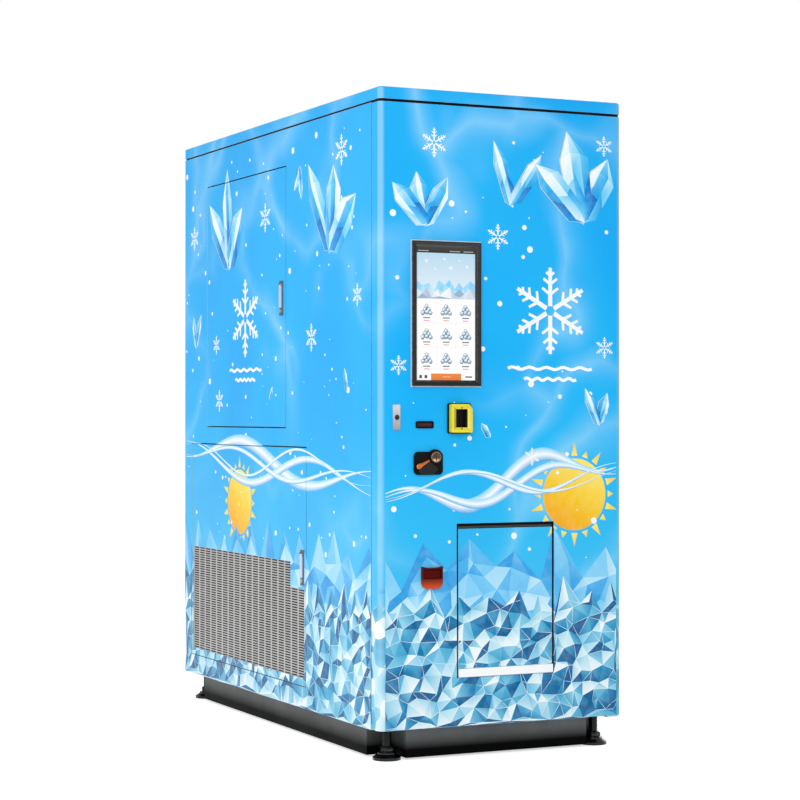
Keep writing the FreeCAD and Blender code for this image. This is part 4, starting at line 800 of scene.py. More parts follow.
def crystal(at, length, width, lean, seed):
    """Six-sided crystal with a pointed head, seen from the side, split into tinted facets."""
    draw = random.Random(seed)
    turn = Matrix.Rotation(lean, 2)
    ribs = [-1.0, draw.uniform(-0.45, -0.2), draw.uniform(0.25, 0.5), 1.0]
    head = length * draw.uniform(0.22, 0.3)
    foot = length * draw.uniform(0.10, 0.16)
    top = [(rib * width / 2, length / 2 - head * (0.8 + 0.35 * abs(rib))) for rib in ribs]
    low = [(rib * width / 2 * 0.86, -length / 2 + foot * (0.6 + 0.5 * abs(rib))) for rib in ribs]
    tip = (draw.uniform(-0.15, 0.15) * width, length / 2)
    end = (draw.uniform(-0.2, 0.2) * width, -length / 2)
    shades = [0.72, 0.42, 0.16]
    draw.shuffle(shades)
    polygons = []

    def placed(corner):
        spot = turn @ Vector(corner)
        return at[0] + spot.x, at[1] + spot.y

    def put(corners, shade, lighter):
        polygons.append([(*placed(corner), between(GEM, shade + more)) for corner, more in zip(corners, lighter)])

    for n, shade in enumerate(shades):
        cut = draw.uniform(0.25, 0.75)
        left = tuple(low[n][k] + cut * (top[n][k] - low[n][k]) for k in (0, 1))
        right = tuple(low[n + 1][k] + (1 - cut) * (top[n + 1][k] - low[n + 1][k]) for k in (0, 1))
        put([low[n], low[n + 1], right, left], shade - 0.05, (0.2, 0.05, -0.12, 0.0))
        put([left, right, top[n + 1], top[n]], shade + 0.14, (-0.05, 0.0, 0.12, 0.25))
        put([top[n], top[n + 1], tip], shade + 0.26, (0.0, -0.1, 0.2))
        put([low[n + 1], low[n], end], shade - 0.02, (0.0, 0.1, 0.3))
    rim = [placed(corner) for corner in (tip, top[0], low[0], end)]
    return polygons + stroke(rim, [0.001, 0.0028, 0.002, 0.0008], SNOW_WHITE)


def cluster(at, size, leans, seed):
    """Crystals that spread from one root."""
    draw = random.Random(seed)
    stacked = []
    for n, lean in enumerate(leans):
        length = size * draw.uniform(0.7, 1.1)
        middle = (at[0] - math.sin(lean) * length * 0.46, at[1] + math.cos(lean) * length * 0.46)
        stacked.append(crystal(middle, length, size * draw.uniform(0.24, 0.34), lean, seed * 31 + n))
    return stacked


def sun(at, radius, colour):
    """Plain glowing disc with short pointed rays round it."""
    steps, rays, half_ray = 48, 20, 0.09
    disc, ray_foot, long_ray, short_ray = 0.78, 0.84, 1.12, 0.98
    glow = srgb(255, 232, 110)
    polygons = []

    def spot(reach, angle):
        return at[0] + radius * reach * math.cos(angle), at[1] + radius * reach * math.sin(angle)

    def paint(angle, reach):
        return between([srgb(246, 168, 28), tuple(colour), glow], 0.5 + 0.5 * reach * math.sin(angle + 0.5))

    for n in range(steps):
        a, b = (2 * math.pi * k / steps for k in (n, n + 1))
        polygons.append([(*at, paint(0, 0)), (*spot(disc, a), paint(a, 1)), (*spot(disc, b), paint(b, 1))])
    for n in range(rays):
        middle = 2 * math.pi * n / rays
        polygons.append([(*spot(ray_foot, middle - half_ray), glow),
                         (*spot(long_ray if n % 2 else short_ray, middle), tuple(colour)),
                         (*spot(ray_foot, middle + half_ray), glow)])
    return polygons


def wave(start, end, rise, curls, width, phase, colour, far_colour):
    """Ribbon that swings along a line, thins at both ends and is white along its middle."""
    steps = 56
    points = []
    widths = []
    for n in range(steps + 1):
        share = n / steps
        swing = math.sin(curls * math.pi * share + phase) * rise * (0.35 + 0.65 * math.sin(math.pi * share))
        points.append((start[0] + share * (end[0] - start[0]), start[1] + share * (end[1] - start[1]) + swing))
        widths.append(width * (0.06 + 0.94 * math.sin(math.pi * share) ** 1.5))
    halves = []
    for sign, shade in ((1, colour), (-1, far_colour)):
        edge = [(u, v + sign * wide / 2) for (u, v), wide in zip(points, widths)]
        for n in range(steps):
            halves.append([(*points[n], SNOW_WHITE), (*points[n + 1], SNOW_WHITE), (*edge[n + 1], shade),
                           (*edge[n], shade)])
    return halves


def waves(start, end, width, seed):
    """Bundle of ribbons that cross and run together."""
    draw = random.Random(seed)
    bundle = []
    for n, share in enumerate((1.0, 0.6, 0.36, 0.2)):
        first = (start[0], start[1] + draw.uniform(-0.03, 0.03))
        last = (end[0], end[1] + draw.uniform(-0.03, 0.03))
        bundle.append(wave(first, last, draw.uniform(0.04, 0.075), draw.uniform(2.2, 3.4), width * share,
                           draw.uniform(0, 6.2), between(HAZE, 0.50 + 0.15 * n), between(HAZE, 0.12)))
    return bundle


def bars(at, width, colour):
    """Two wavy bars, one above the other."""
    steps, thick, apart, ripple = 24, 0.0095, 0.034, 0.004
    polygons = []
    for n, share in enumerate((1.0, 0.62)):
        points = [(at[0] + width * share * (k / steps - 0.5), at[1] - apart * n + ripple * math.sin(k * 1.3))
                  for k in range(steps + 1)]
        polygons += stroke(points, [thick] * len(points), colour)
    return polygons


# Geometry trees that repeat a shape
def new_tree(name, inputs):
    """Empty geometry tree with named inputs, and the outputs of its entry."""
    tree = bpy.data.node_groups.new(name, "GeometryNodeTree")
    tree.interface.new_socket("Geometry", in_out="INPUT", socket_type="NodeSocketGeometry")
    for label, kind, default in inputs:
        tree.interface.new_socket(label, in_out="INPUT", socket_type="NodeSocket" + kind).default_value = default
    tree.interface.new_socket("Ink", in_out="INPUT", socket_type="NodeSocketMaterial")
    tree.interface.new_socket("Geometry", in_out="OUTPUT", socket_type="NodeSocketGeometry")
    return tree, tree.nodes.new("NodeGroupInput").outputs


def close_tree(tree, geometry, ink):
    """Realize Instances and Set Material at the end of a tree."""
    plain = add(tree, "GeometryNodeRealizeInstances", {0: geometry})
    dressed = add(tree, "GeometryNodeSetMaterial", {0: plain.outputs[0], "Material": ink})
    tree.links.new(dressed.outputs[0], tree.nodes.new("NodeGroupOutput").inputs[0])
    return tree


def drop_tree():
    """Scatters flat round drops over faces, large ones rarely."""
    tree, entry = new_tree("Printed drops", (
        ("Per square metre", "Float", 60.0), ("Largest", "Float", 0.01), ("Thickness", "Float", 0.0002),
        ("Seed", "Int", 1)))
    spread = add(tree, "GeometryNodeDistributePointsOnFaces", {
        "Mesh": entry["Geometry"], "Density Max": entry["Per square metre"],
        "Distance Min": calc(tree, "MULTIPLY", entry["Largest"], 2.4), "Seed": entry["Seed"]},
        distribute_method="POISSON")
    disc = add(tree, "GeometryNodeMeshCylinder", {"Vertices": 14, "Radius": 1.0, "Depth": entry["Thickness"]})
    chance = add(tree, "FunctionNodeRandomValue", {2: 0.18, 3: 1.0, "Seed": entry["Seed"]})
    radius = calc(tree, "MULTIPLY", calc(tree, "POWER", chance.outputs[1], 2.2), entry["Largest"])
    radius = calc(tree, "ADD", radius, 0.0016)
    size = add(tree, "ShaderNodeCombineXYZ", {0: radius, 1: radius, 2: 1.0})
    laid = add(tree, "GeometryNodeInstanceOnPoints", {
        "Points": spread.outputs["Points"], "Instance": disc.outputs["Mesh"],
        "Rotation": spread.outputs["Rotation"], "Scale": size.outputs[0]})
    return close_tree(tree, laid.outputs[0], entry["Ink"])


def turn_tree():
    """Repeats a shape round an axis through a centre."""
    tree, entry = new_tree("Turned copies", (
        ("Count", "Int", 6), ("Centre", "Vector", (0, 0, 0)), ("Axis", "Vector", (0, 1, 0))))
    line = add(tree, "GeometryNodeMeshLine", {"Count": entry["Count"], "Start Location": entry["Centre"],
                                              "Offset": (0, 0, 0)})
    step = calc(tree, "DIVIDE", 2 * math.pi, entry["Count"])
    angle = calc(tree, "MULTIPLY", add(tree, "GeometryNodeInputIndex").outputs[0], step)
    turned = add(tree, "FunctionNodeAxisAngleToRotation", {"Axis": entry["Axis"], "Angle": angle})
    laid = add(tree, "GeometryNodeInstanceOnPoints", {
        "Points": line.outputs[0], "Instance": entry["Geometry"], "Rotation": turned.outputs[0]})
    return close_tree(tree, laid.outputs[0], entry["Ink"])


def row_tree():
    """Repeats a shape in a row."""
    tree, entry = new_tree("Row of copies", (
        ("Count", "Int", 4), ("Start", "Vector", (0, 0, 0)), ("Step", "Vector", (0, 0, 1))))
    line = add(tree, "GeometryNodeMeshLine", {"Count": entry["Count"], "Start Location": entry["Start"],
                                              "Offset": entry["Step"]})
    laid = add(tree, "GeometryNodeInstanceOnPoints", {"Points": line.outputs[0], "Instance": entry["Geometry"]})
    return close_tree(tree, laid.outputs[0], entry["Ink"])


TREES = {}


def grow(name, tree, seed_shape, values, body):
    """Runs a tree on a seed mesh, keeps the result as a plain mesh, and rides it on a body."""
    piece = bpy.data.objects.new(name, seed_shape)
    bpy.context.scene.collection.objects.link(piece)
    step = piece.modifiers.new("Pattern", "NODES")
    step.node_group = TREES[tree]
    for item in TREES[tree].interface.items_tree:
        if item.item_type == "SOCKET" and item.in_out == "INPUT" and item.name in values:
            step[item.identifier] = values[item.name]
    graph = bpy.context.evaluated_depsgraph_get()
    shape = bpy.data.meshes.new_from_object(piece.evaluated_get(graph), preserve_all_data_layers=True,
                                            depsgraph=graph)
    piece.modifiers.clear()
    piece.data = shape
    return seat(piece, body, False)


# Shapes for the trees
def arm_shape(side, radius, thickness):
    """One arm of a snowflake about the origin of a side, as a closed thin mesh."""
    lean = math.radians(55)
    strips = [((0.0, radius * 0.11), (0.0, radius), 0.11)]
    for reach, twig in ((0.38, 0.26), (0.62, 0.22), (0.82, 0.13)):
        for sign in (-1, 1):
            tip = (sign * radius * twig * math.sin(lean), radius * (reach + twig * math.cos(lean)))
            strips.append(((0.0, radius * reach), tip, 0.075))
    base = side.at(0, 0, 0)
    mesh_maker = bmesh.new()
    for step, (one, two, width) in enumerate(strips):
        height = thickness * (1.0 - 0.06 * step)
        flat = stroke([one, two], [radius * width, radius * width * 0.8], SNOW_WHITE)[0]
        if area(flat) < 0:
            flat = flat[::-1]
        loft([[side.at(u, v, FOIL_GAP + lift) - base for u, v, _ in flat] for lift in (0.0, height)],
             into=mesh_maker)
    return plain_mesh("flake_arm", mesh_maker)


def screw_shape(side, radius):
    """Domed screw head with a cross recess about the origin of a side."""
    steps = 24
    profile = ((0.97, 0.0), (1.0, 0.0007), (0.92, 0.0015), (0.74, 0.0021), (0.54, 0.0024))
    arm, wide, sunk = 0.40 * radius, 0.11 * radius, 0.0012
    top_share, top = profile[-1]
    base = side.at(0, 0, 0)
    cross = []
    for turn in range(4):
        for a, b in ((wide, wide), (wide, arm), (-wide, arm)):
            for _ in range(turn):
                a, b = -b, a
            cross.append((a, b))
    mesh_maker = bmesh.new()

    def ring(points, lift):
        return [mesh_maker.verts.new(side.at(a, b, lift) - base) for a, b in points]

    loops = [ring(round_points(radius * share, steps), lift) for share, lift in profile]
    for one, two in zip(loops, loops[1:]):
        bridge(mesh_maker, one, two)
    mesh_maker.faces.new(loops[0][::-1])
    rim = ring(cross, top)
    floor = ring(cross, top - sunk)
    flat = [Vector(corner) for corner in round_points(radius * top_share, steps) + cross]
    rounds = [list(range(steps)), list(range(steps, len(flat)))]
    points, _, faces, origins, _, _ = delaunay_2d_cdt(flat, [], rounds, 1, 1e-9)
    owners = loops[-1] + rim
    for face in faces:
        a, b = (abs(sum(points[n][k] for n in face) / 3) for k in (0, 1))
        if (a < wide and b < arm) or (b < wide and a < arm):
            continue
        mesh_maker.faces.new([owners[origins[n][0]] for n in face])
    bridge(mesh_maker, rim, floor)
    mesh_maker.faces.new(floor)
    bmesh.ops.recalc_face_normals(mesh_maker, faces=mesh_maker.faces[:])
    return plain_mesh("screw_head", mesh_maker)


# Air slots of the right panel: middle, half length, lowest level, distance, height and number
SLOT_Y, SLOT_HALF, SLOT_LOW, SLOT_PITCH, SLOT_TALL, SLOT_COUNT = 0.2415, 0.240, 0.228, 0.036, 0.010, 10


def lip_shape():
    """Pressed lip of one air slot, with a section of (lift, up) corners that flattens at both ends."""
    section = ((0.0, SLOT_TALL + 0.007), (0.0013, SLOT_TALL + 0.003), (0.0021, SLOT_TALL * 0.55),
               (0.0023, SLOT_TALL * 0.25), (0.0017, SLOT_TALL * 0.2), (0.0013, SLOT_TALL * 0.6),
               (0.0006, SLOT_TALL + 0.002), (0.00001, SLOT_TALL + 0.005))
    ends = ((SLOT_HALF + 0.008, 0.04), (SLOT_HALF + 0.003, 0.7), (SLOT_HALF - 0.006, 1.0))
    stations = [(-along, share) for along, share in ends] + list(ends[::-1])
    return plain_mesh("slot_lip", loft([[Vector((lift * share, along, up)) for lift, up in section]
                                        for along, share in stations]))


def rectangle_mesh(side, areas, lift):
    """Mesh of plain rectangles on a side."""
    mesh_maker = bmesh.new()
    for rectangle in areas:
        mesh_maker.faces.new([mesh_maker.verts.new(side.at(u, v, lift)) for u, v in corners_of(*rectangle)])
    return plain_mesh("areas", mesh_maker)


# Print
class Printed:
    """One printed surface: its side, the areas that show, and the body it moves with."""

    def __init__(self, name, side, outer, holes, body):
        self.name = name
        self.side = side
        self.outer = outer
        self.holes = holes
        self.areas = windows(outer, holes)
        self.body = body

    def lay(self, what, polygons, lift):
        """Puts one layer of motifs on the surface."""
        foil("%s_%s" % (self.name, what), polygons, self.side, self.areas, self.body, lift, FINISH["ink"])

    def flake(self, name, at, radius, thickness):
        """Puts one six-armed snowflake on the surface."""
        grow(name, "turn", arm_shape(self.side, radius, thickness), {
            "Count": 6, "Centre": self.side.at(*at), "Axis": self.side.normal(), "Ink": FINISH["white_ink"]},
            self.body)

    def drops(self, ink, density, largest, seed, low, high, flakes):
        """Scatters drops between two levels of the surface, clear of the snowflakes at (place, radius)."""
        margin = largest + 0.004
        u0, u1, v0, v1 = shifted(self.outer, (margin, -margin, margin, -margin))
        v0, v1 = max(v0, low), min(v1, high)
        if v0 >= v1:
            return
        holes = self.holes + [(u - r, u + r, v - r, v + r) for (u, v), r in flakes]
        holes = [shifted(hole, (-margin, margin, -margin, margin)) for hole in holes]
        grow(self.name + "_drops", "drop", rectangle_mesh(self.side, windows((u0, u1, v0, v1), holes), ink), {
            "Per square metre": density, "Largest": largest, "Thickness": 2 * ink, "Seed": seed,
            "Ink": FINISH["white_ink"]}, self.body)


# Grille of the lower hatch on the left side, and the corner that its handle takes
GRILLE_LEFT, GRILLE_RIGHT, GRILLE_LOW, GRILLE_HIGH = -0.767, 0.284, 0.192, 0.566
NOTCH_LEFT, NOTCH_LOW = 0.166, 0.482


def printed_surfaces():
    """The printed surfaces of the cabinet."""
    edge, corner, under_rim = 0.0012, 0.019, -0.004
    hinge_edge, hinge_gap, gap = 0.003, 0.006, 0.002
    lip, lip_below, lip_tall = SLOT_HALF + 0.0105, 0.003, 0.022
    hatches = [span_of(name, LEFT) for name in ("upper_hatch", "lower_hatch")]
    upper, lower = (shifted(hatch, (hinge_edge, -edge, edge, -edge)) for hatch in hatches)
    left_holes = [shifted(hatch, (-hinge_gap, gap, -gap, gap)) for hatch in hatches]
    grille_holes = [(GRILLE_LEFT, NOTCH_LEFT, GRILLE_LOW, GRILLE_HIGH),
                    (NOTCH_LEFT, GRILLE_RIGHT, GRILLE_LOW, NOTCH_LOW)]
    front_holes = [span_of("pickup_frame", FRONT), span_of("display_bezel", FRONT, under_rim),
                   span_of("coin_cup", FRONT, under_rim)]
    levels = [SLOT_LOW - lip_below + SLOT_PITCH * n for n in range(SLOT_COUNT)]
    right_holes = [(SLOT_Y - lip, SLOT_Y + lip, level, level + lip_tall) for level in levels]
    door = shifted(span_of("door_shell", FRONT, -edge), (corner, -corner, 0, 0))
    return {
        "door": Printed("door", FRONT, door, front_holes, "door"),
        "flap": Printed("flap", FLAP, span_of("pickup_flap", FLAP, -edge), [], "pickup"),
        "left": Printed("left", LEFT, span_of("left_panel", LEFT, -edge), left_holes, "cabinet"),
        "upper": Printed("upper_hatch", LEFT, upper, [], "hatch_upper"),
        "lower": Printed("lower_hatch", LEFT, lower, grille_holes, "hatch_lower"),
        "right": Printed("right", RIGHT, span_of("right_panel", RIGHT, -edge), right_holes, "cabinet"),
    }


class DressFrame(bpy.types.Operator):
    """Makes every finish and lays it on the frame's own parts"""
    bl_idname = "icecabinet.dress_frame"
    bl_label = "Finishes of the frame"

    def execute(self, context):
        GROUPS.update(dust=dust_group(), grain=grain_group(), brush=brush_group(), edge=edge_group())
        make_finishes(context.scene.cabinet_colours)
        TREES.update(drop=drop_tree(), turn=turn_tree(), row=row_tree())
        for key, names in NODE_FINISH.items():
            for name in names:
                shape = NODES[name].data
                shape.materials.clear()
                shape.materials.append(FINISH[key])
        missing = set(NODES) - {name for names in NODE_FINISH.values() for name in names}
        if missing:
            raise RuntimeError("no finish for %s" % sorted(missing))
        return {"FINISHED"}


# One row for each side: its surfaces, the ends of the ridge, the seed, the place of the sun, the clusters of
# crystals as (root, size, leans), and the two ends of the waves
LAYOUTS = (
    (("door", "flap"), (-0.43, 0.43), 11, (0.252, 0.800), (
        ((0.28, 1.66), 0.31, (-0.5, 0.15, 0.75)), ((0.03, 1.70), 0.20, (0.3, -0.6)),
        ((-0.27, 1.63), 0.20, (0.2, -0.5, 0.72)), ((0.34, 1.02), 0.12, (-0.3, 0.4)),
        ((-0.05, 0.98), 0.07, (0.5,))), ((-0.42, 0.80), (0.42, 0.90))),
    (("left", "upper", "lower"), (-0.87, 0.87), 23, (-0.30, 0.745), (
        ((0.50, 1.57), 0.36, (0.6, -0.1, -0.8)), ((-0.40, 1.58), 0.33, (0.75, 0.1, -0.55)),
        ((0.24, 1.86), 0.12, (2.6, 3.3)), ((-0.74, 1.30), 0.13, (0.3, -0.4)),
        ((0.62, 1.12), 0.09, (0.2,)), ((-0.02, 1.10), 0.08, (-0.6,))), ((-0.85, 0.92), (0.80, 0.84))),
    (("right",), (-0.87, 0.87), 37, (0.10, 0.78), (
        ((-0.40, 1.60), 0.32, (0.5, -0.2, -0.9)), ((0.45, 1.50), 0.24, (0.5, -0.1)),
        ((0.05, 1.75), 0.12, (0.2, -0.7))), ((-0.80, 0.86), (0.85, 0.94))),
)
# Snowflakes as (surface, place, radius); the radius of the emblems is a property
EMBLEMS = (("door", (0.165, 1.375)), ("upper", (-0.245, 1.385)), ("right", (0.05, 1.37)))
SMALL_FLAKES = (
    ("door", (-0.36, 1.20), 0.030), ("door", (0.362, 1.262), 0.034), ("door", (-0.02, 1.60), 0.040),
    ("door", (0.36, 1.90), 0.032), ("door", (-0.24, 1.88), 0.045), ("door", (0.10, 0.92), 0.028),
    ("left", (0.34, 1.30), 0.046), ("left", (0.70, 1.42), 0.036), ("left", (0.58, 1.88), 0.050),
    ("left", (-0.76, 1.70), 0.044), ("upper", (-0.53, 1.30), 0.034), ("upper", (-0.06, 1.72), 0.050),
    ("upper", (-0.50, 1.10), 0.040), ("right", (-0.60, 1.30), 0.046), ("right", (0.62, 1.80), 0.050),
    ("right", (0.40, 1.15), 0.038))
RIDGE_FOOT = 0.09
FAR_RIDGE_RISE = 0.13
DROPS_PER_AREA = 75.0
DROPS_TOP = 1.95
BARS_WIDTH, BARS_BELOW = 0.30, 0.045


def motif_layers(ends, seed, disc, groups, wave_ends, sizes, sun_ink):
    """Layers of motifs for one side, as (name, polygons, height in foils)."""
    far, _ = ridge(*ends, RIDGE_FOOT, sizes.ridge + FAR_RIDGE_RISE, 0.10, sizes.ridge_cell * 1.7, HAZE, seed, 0.0)
    near, rims = ridge(*ends, RIDGE_FOOT, sizes.ridge, 0.075, sizes.ridge_cell, ICE, seed + 1, 0.4)
    ribbons = waves(*wave_ends, sizes.ribbon, seed + 2)
    stacks = [cluster(*group, seed + 3 + n) for n, group in enumerate(groups)]
    layers = [("wave_%d" % n, ribbon, 2 + n) for n, ribbon in enumerate(ribbons)]
    layers += [("sun", sun(disc, sizes.sun, sun_ink), 1), ("far_ridge", far, 6), ("near_ridge", near, 7),
               ("ridge_rims", rims, 8)]
    for n in range(3):
        facets = [facet for stack in stacks for single in stack[n:n + 1] for facet in single]
        layers.append(("crystals_%d" % n, facets, 2 + n))
    return layers


class PrintMotifs(bpy.types.Operator):
    """Lays the printed ridge, crystals, waves, suns, snowflakes and drops on the sides"""
    bl_idname = "icecabinet.print_motifs"
    bl_label = "Printed motifs"

    def execute(self, context):
        sizes = context.scene.print_sizes
        colours = context.scene.cabinet_colours
        ink = sizes.ink
        surfaces = printed_surfaces()
        for names, ends, seed, disc, groups, wave_ends in LAYOUTS:
            layers = motif_layers(ends, seed, disc, groups, wave_ends, sizes, colours.ink_sun)
            for name in names:
                for what, polygons, height in layers:
                    surfaces[name].lay(what, polygons, ink * height)
                flakes = [(at, sizes.emblem) for key, at in EMBLEMS if key == name]
                flakes += [(at, radius) for key, at, radius in SMALL_FLAKES if key == name]
                surfaces[name].drops(ink, DROPS_PER_AREA, sizes.drop, seed + 40, sizes.ridge + 0.1, DROPS_TOP,
                                     flakes)
        for name, (u, v) in EMBLEMS:
            surface = surfaces[name]
            surface.flake(surface.name + "_flake", (u, v), sizes.emblem, ink * 6)
            pair = bars((u, v - sizes.emblem - BARS_BELOW), BARS_WIDTH, colours.ink_white)
            surface.lay("bars", pair, ink * 6)
        for n, (name, at, radius) in enumerate(SMALL_FLAKES):
            surfaces[name].flake("small_flake_%02d" % n, at, radius, ink * 5)
        return {"FINISHED"}


# Display
class Picture:
    """Layers of flat shapes on a rectangle, placed by shares of its width and height."""

    def __init__(self, rectangle, layers):
        self.rectangle = rectangle
        self.width = rectangle[1] - rectangle[0]
        self.height = rectangle[3] - rectangle[2]
        self.layers = [[] for _ in range(layers)]

    def put(self, layer, corners):
        """Adds one convex shape of (across, up, colour) corners."""
        self.layers[layer].append([(self.rectangle[0] + a * self.width, self.rectangle[2] + b * self.height, paint)
                                   for a, b, paint in corners])

    def block(self, layer, left, right, bottom, top, colour, upper=None):
        """Adds one rectangle, which may shade to another colour at its top."""
        low, high = srgb(*colour), srgb(*(upper or colour))
        self.put(layer, [(*corner, paint) for corner, paint in zip(corners_of(left, right, bottom, top),
                                                                   (low, low, high, high))])


def draw_banner(picture):
    """White ground, dark status bar, and a banner of snow over two rows of hills."""
    banner_low, banner_high = 0.612, 0.957
    picture.block(0, 0, 1, 0, 1, (252, 252, 253))
    picture.block(1, 0, 1, banner_high, 1, (20, 18, 18), (60, 54, 54))
    for left, right in ((0.02, 0.20), (0.56, 0.74), (0.80, 0.97)):
        picture.block(2, left, right, 0.968, 0.974, (180, 178, 178))
    picture.block(1, 0, 1, banner_low, banner_high, (228, 238, 246), (182, 216, 236))
    for layer, seed, mean, swing, tones in ((2, 9, 0.72, 0.05, HAZE[2:]),
                                            (3, 10, 0.67, 0.03, [srgb(150, 176, 206), SNOW_WHITE])):
        for facet in ridge(0, 1, banner_low, mean, swing, 0.08, tones, seed, 0.0)[0]:
            picture.put(layer, facet)
    shape = picture.width / picture.height
    for a, b, size in ((0.16, 0.90, 0.030), (0.31, 0.84, 0.017), (0.47, 0.915, 0.022), (0.58, 0.85, 0.034),
                       (0.73, 0.905, 0.016), (0.86, 0.86, 0.026), (0.09, 0.81, 0.014)):
        picture.put(2, [(a + size * x, b + size * shape * y, between([SNOW_WHITE, srgb(196, 222, 240)],
                                                                     0.5 + 0.5 * y))
                        for x, y in round_points(1, 12)])


def draw_lump(picture, layer, at, size, draw):
    """One block of ice: a dark outline with two lighter facets."""
    turn = draw.uniform(0, 1.0)
    ring = [(at[0] + size * a * draw.uniform(0.8, 1.1), at[1] + size * 0.5 * b * draw.uniform(0.8, 1.1))
            for a, b in round_points(1, 6, turn)]
    inner = [(at[0] + 0.76 * (a - at[0]), at[1] + 0.001 + 0.76 * (b - at[1])) for a, b in ring]
    for level, corners, tone in ((layer, ring, (78, 98, 120)), (layer + 1, inner[:4], (240, 246, 250)),
                                 (layer + 1, inner[3:] + inner[:1], (146, 184, 212))):
        picture.put(level, [(*corner, srgb(*tone)) for corner in corners])


# Lumps of one heap as (across, up) from the middle of its cell's foot, and the layer that each is drawn on
HEAP = ((-0.064, 0.076, 1), (0.064, 0.076, 1), (0.0, 0.081, 2), (-0.031, 0.102, 2), (0.034, 0.100, 2),
        (0.0, 0.124, 1))
CELL_WIDE, CELL_TALL = 0.335, 0.182


def draw_goods(picture):
    """Three by three cells, each with a heap of ice and two plain bars, and the lines between them."""
    draw = random.Random(5)
    for row in range(3):
        for column in range(3):
            middle = 0.165 + column * CELL_WIDE
            bottom = 0.428 - row * CELL_TALL
            for across, up, layer in HEAP:
                draw_lump(picture, layer, (middle + across, bottom + up), 0.040, draw)
            picture.block(1, middle - 0.06, middle + 0.06, bottom + 0.036, bottom + 0.044, (92, 98, 106))
            picture.block(1, middle - 0.05, middle + 0.05, bottom + 0.016, bottom + 0.023, (238, 140, 152))
    for n in (1, 2):
        picture.block(1, n / 3 - 0.003, n / 3 + 0.003, 0.066, 0.608, (252, 228, 232))
        picture.block(1, 0.03, 0.97, 0.6105 - CELL_TALL * n, 0.6135 - CELL_TALL * n, (250, 222, 228))


def draw_foot(picture):
    """Orange button with a plain bar, and dark marks beside it."""
    picture.block(1, 0.24, 0.76, 0.0, 0.050, (228, 118, 38), (238, 136, 58))
    picture.block(2, 0.44, 0.58, 0.022, 0.028, (246, 190, 140))
    for mark in ((0.04, 0.085, 0.014, 0.038), (0.13, 0.175, 0.014, 0.038), (0.83, 0.95, 0.020, 0.030)):
        picture.block(1, *mark, (70, 66, 66))


class LightScreen(bpy.types.Operator):
    """Draws the lit picture of the display and frames it with a mitred moulding"""
    bl_idname = "icecabinet.light_screen"
    bl_label = "Display picture"

    def execute(self, context):
        rim, layer_thickness = 0.0178, 0.00008
        around = span_of("display_bezel", FRONT)
        picture = Picture(span_of("display_bezel", FRONT, -rim), 4)
        draw_banner(picture)
        draw_goods(picture)
        draw_foot(picture)
        for n, layer in enumerate(picture.layers):
            foil("screen_picture_%d" % n, layer, GLASS, [picture.rectangle], "door", layer_thickness * (n + 1),
                 FINISH["screen"])
        settle("display_frame", mitred_frame(front_of("display_bezel"), around, (
            (0.0006, 0.0), (0.0010, 0.0032), (0.0030, 0.0036), (0.0118, 0.0006), (0.0122, 0.0))),
            "door", FINISH["gloss"])
        # Pale ring round the outer edge of the bezel, a painted highlight.
        settle("display_highlight_ring", mitred_frame(FRONT, around, (
            (-0.0030, 0.0), (-0.0026, 0.0012), (-0.0004, 0.0012), (-0.0001, 0.0))),
            "door", FINISH["white"])
        return {"FINISHED"}


# Lock, reader and coin fittings
def fit_lock():
    """Ring round the key cylinder."""
    profile = ((0.0078, 0.0), (0.0078, 0.0014), (0.0084, 0.0019), (0.0092, 0.0015), (0.0098, 0.0))
    settle("lock_ring", turned_ring(front_of("lock_plate"), middle_of("lock_plate"), profile), "door",
           FINISH["satin"], smooth=True)


def fit_reader():
    """Lining of four slopes round the note slot, painted in lit and shaded tones of one yellow, two nubs on it and
    two rails inside the slot.
    """
    u, v = middle_of("reader_bezel")
    step = front_of("reader_bezel", 0.0025)
    outer, inner = (0.0269, 0.0349), (0.0201, 0.0281)
    nub_reach, nub_radius = 0.0316, 0.0022
    rail_near, rail_far, rail_half = 0.0182, 0.0198, 0.0278
    signs = ((-1, -1), (1, -1), (1, 1), (-1, 1))
    # Painted light: one yellow in four lit and shaded tones, lightest on the right slope and darkest on the left.
    tones = ((224, 208, 40), (236, 226, 110), (226, 214, 60), (176, 156, 14))
    lining = []
    for n, tone in enumerate(tones):
        one, two = signs[n], signs[(n + 1) % 4]
        lining.append([(u + s[0] * r[0], v + s[1] * r[1], srgb(*tone))
                       for s, r in ((one, outer), (two, outer), (two, inner), (one, inner))])
    foil("reader_shaded_lining", lining, step, [span_of("reader_bezel", FRONT)], "door", 0.0004, FINISH["tinted"])
    for name, end in (("lower", -1), ("upper", 1)):
        outline = [(u + a, v + end * nub_reach + b) for a, b in round_points(nub_radius, 12)]
        settle("reader_nub_" + name, raised_plate(step, outline, ((1.0, 0.0003), (1.0, 0.0010), (0.6, 0.0016))),
               "door", FINISH["black"])
    for name, end in (("left", -1), ("right", 1)):
        u0, u1 = sorted((u + end * rail_far, u + end * rail_near))
        outline = corners_of(u0, u1, v - rail_half, v + rail_half)
        settle("reader_rail_" + name, raised_plate(step, outline, (
            (1.0, -0.0150), (1.0, -0.0022), (0.86, -0.0012))), "door", FINISH["rail"])


# Return lever in millimetres: stations (along, half width, height, share of it in the thumb dish) and its
# section (share of the half width, share of the height, or nothing where the lift is given)
LEVER_STATIONS = (
    (-9.0, 2.0, 3.4, 1.0), (-8.0, 4.8, 5.6, 0.94), (-5.5, 7.2, 7.0, 0.84), (-2.0, 8.4, 7.6, 0.72),
    (2.0, 8.4, 7.6, 0.70), (6.0, 7.6, 7.5, 0.78), (10.0, 6.2, 7.3, 0.92), (14.0, 5.2, 7.1, 1.0),
    (21.0, 4.5, 6.8, 1.0), (30.0, 3.9, 6.2, 1.0), (37.0, 3.3, 5.4, 1.0), (40.0, 2.0, 4.4, 1.0))
LEVER_PIVOT = Vector((-0.296, 0.894))
LEVER_TURN = math.radians(27)
LEVER_CLEAR = 1.6
MILLIMETRE = 0.001


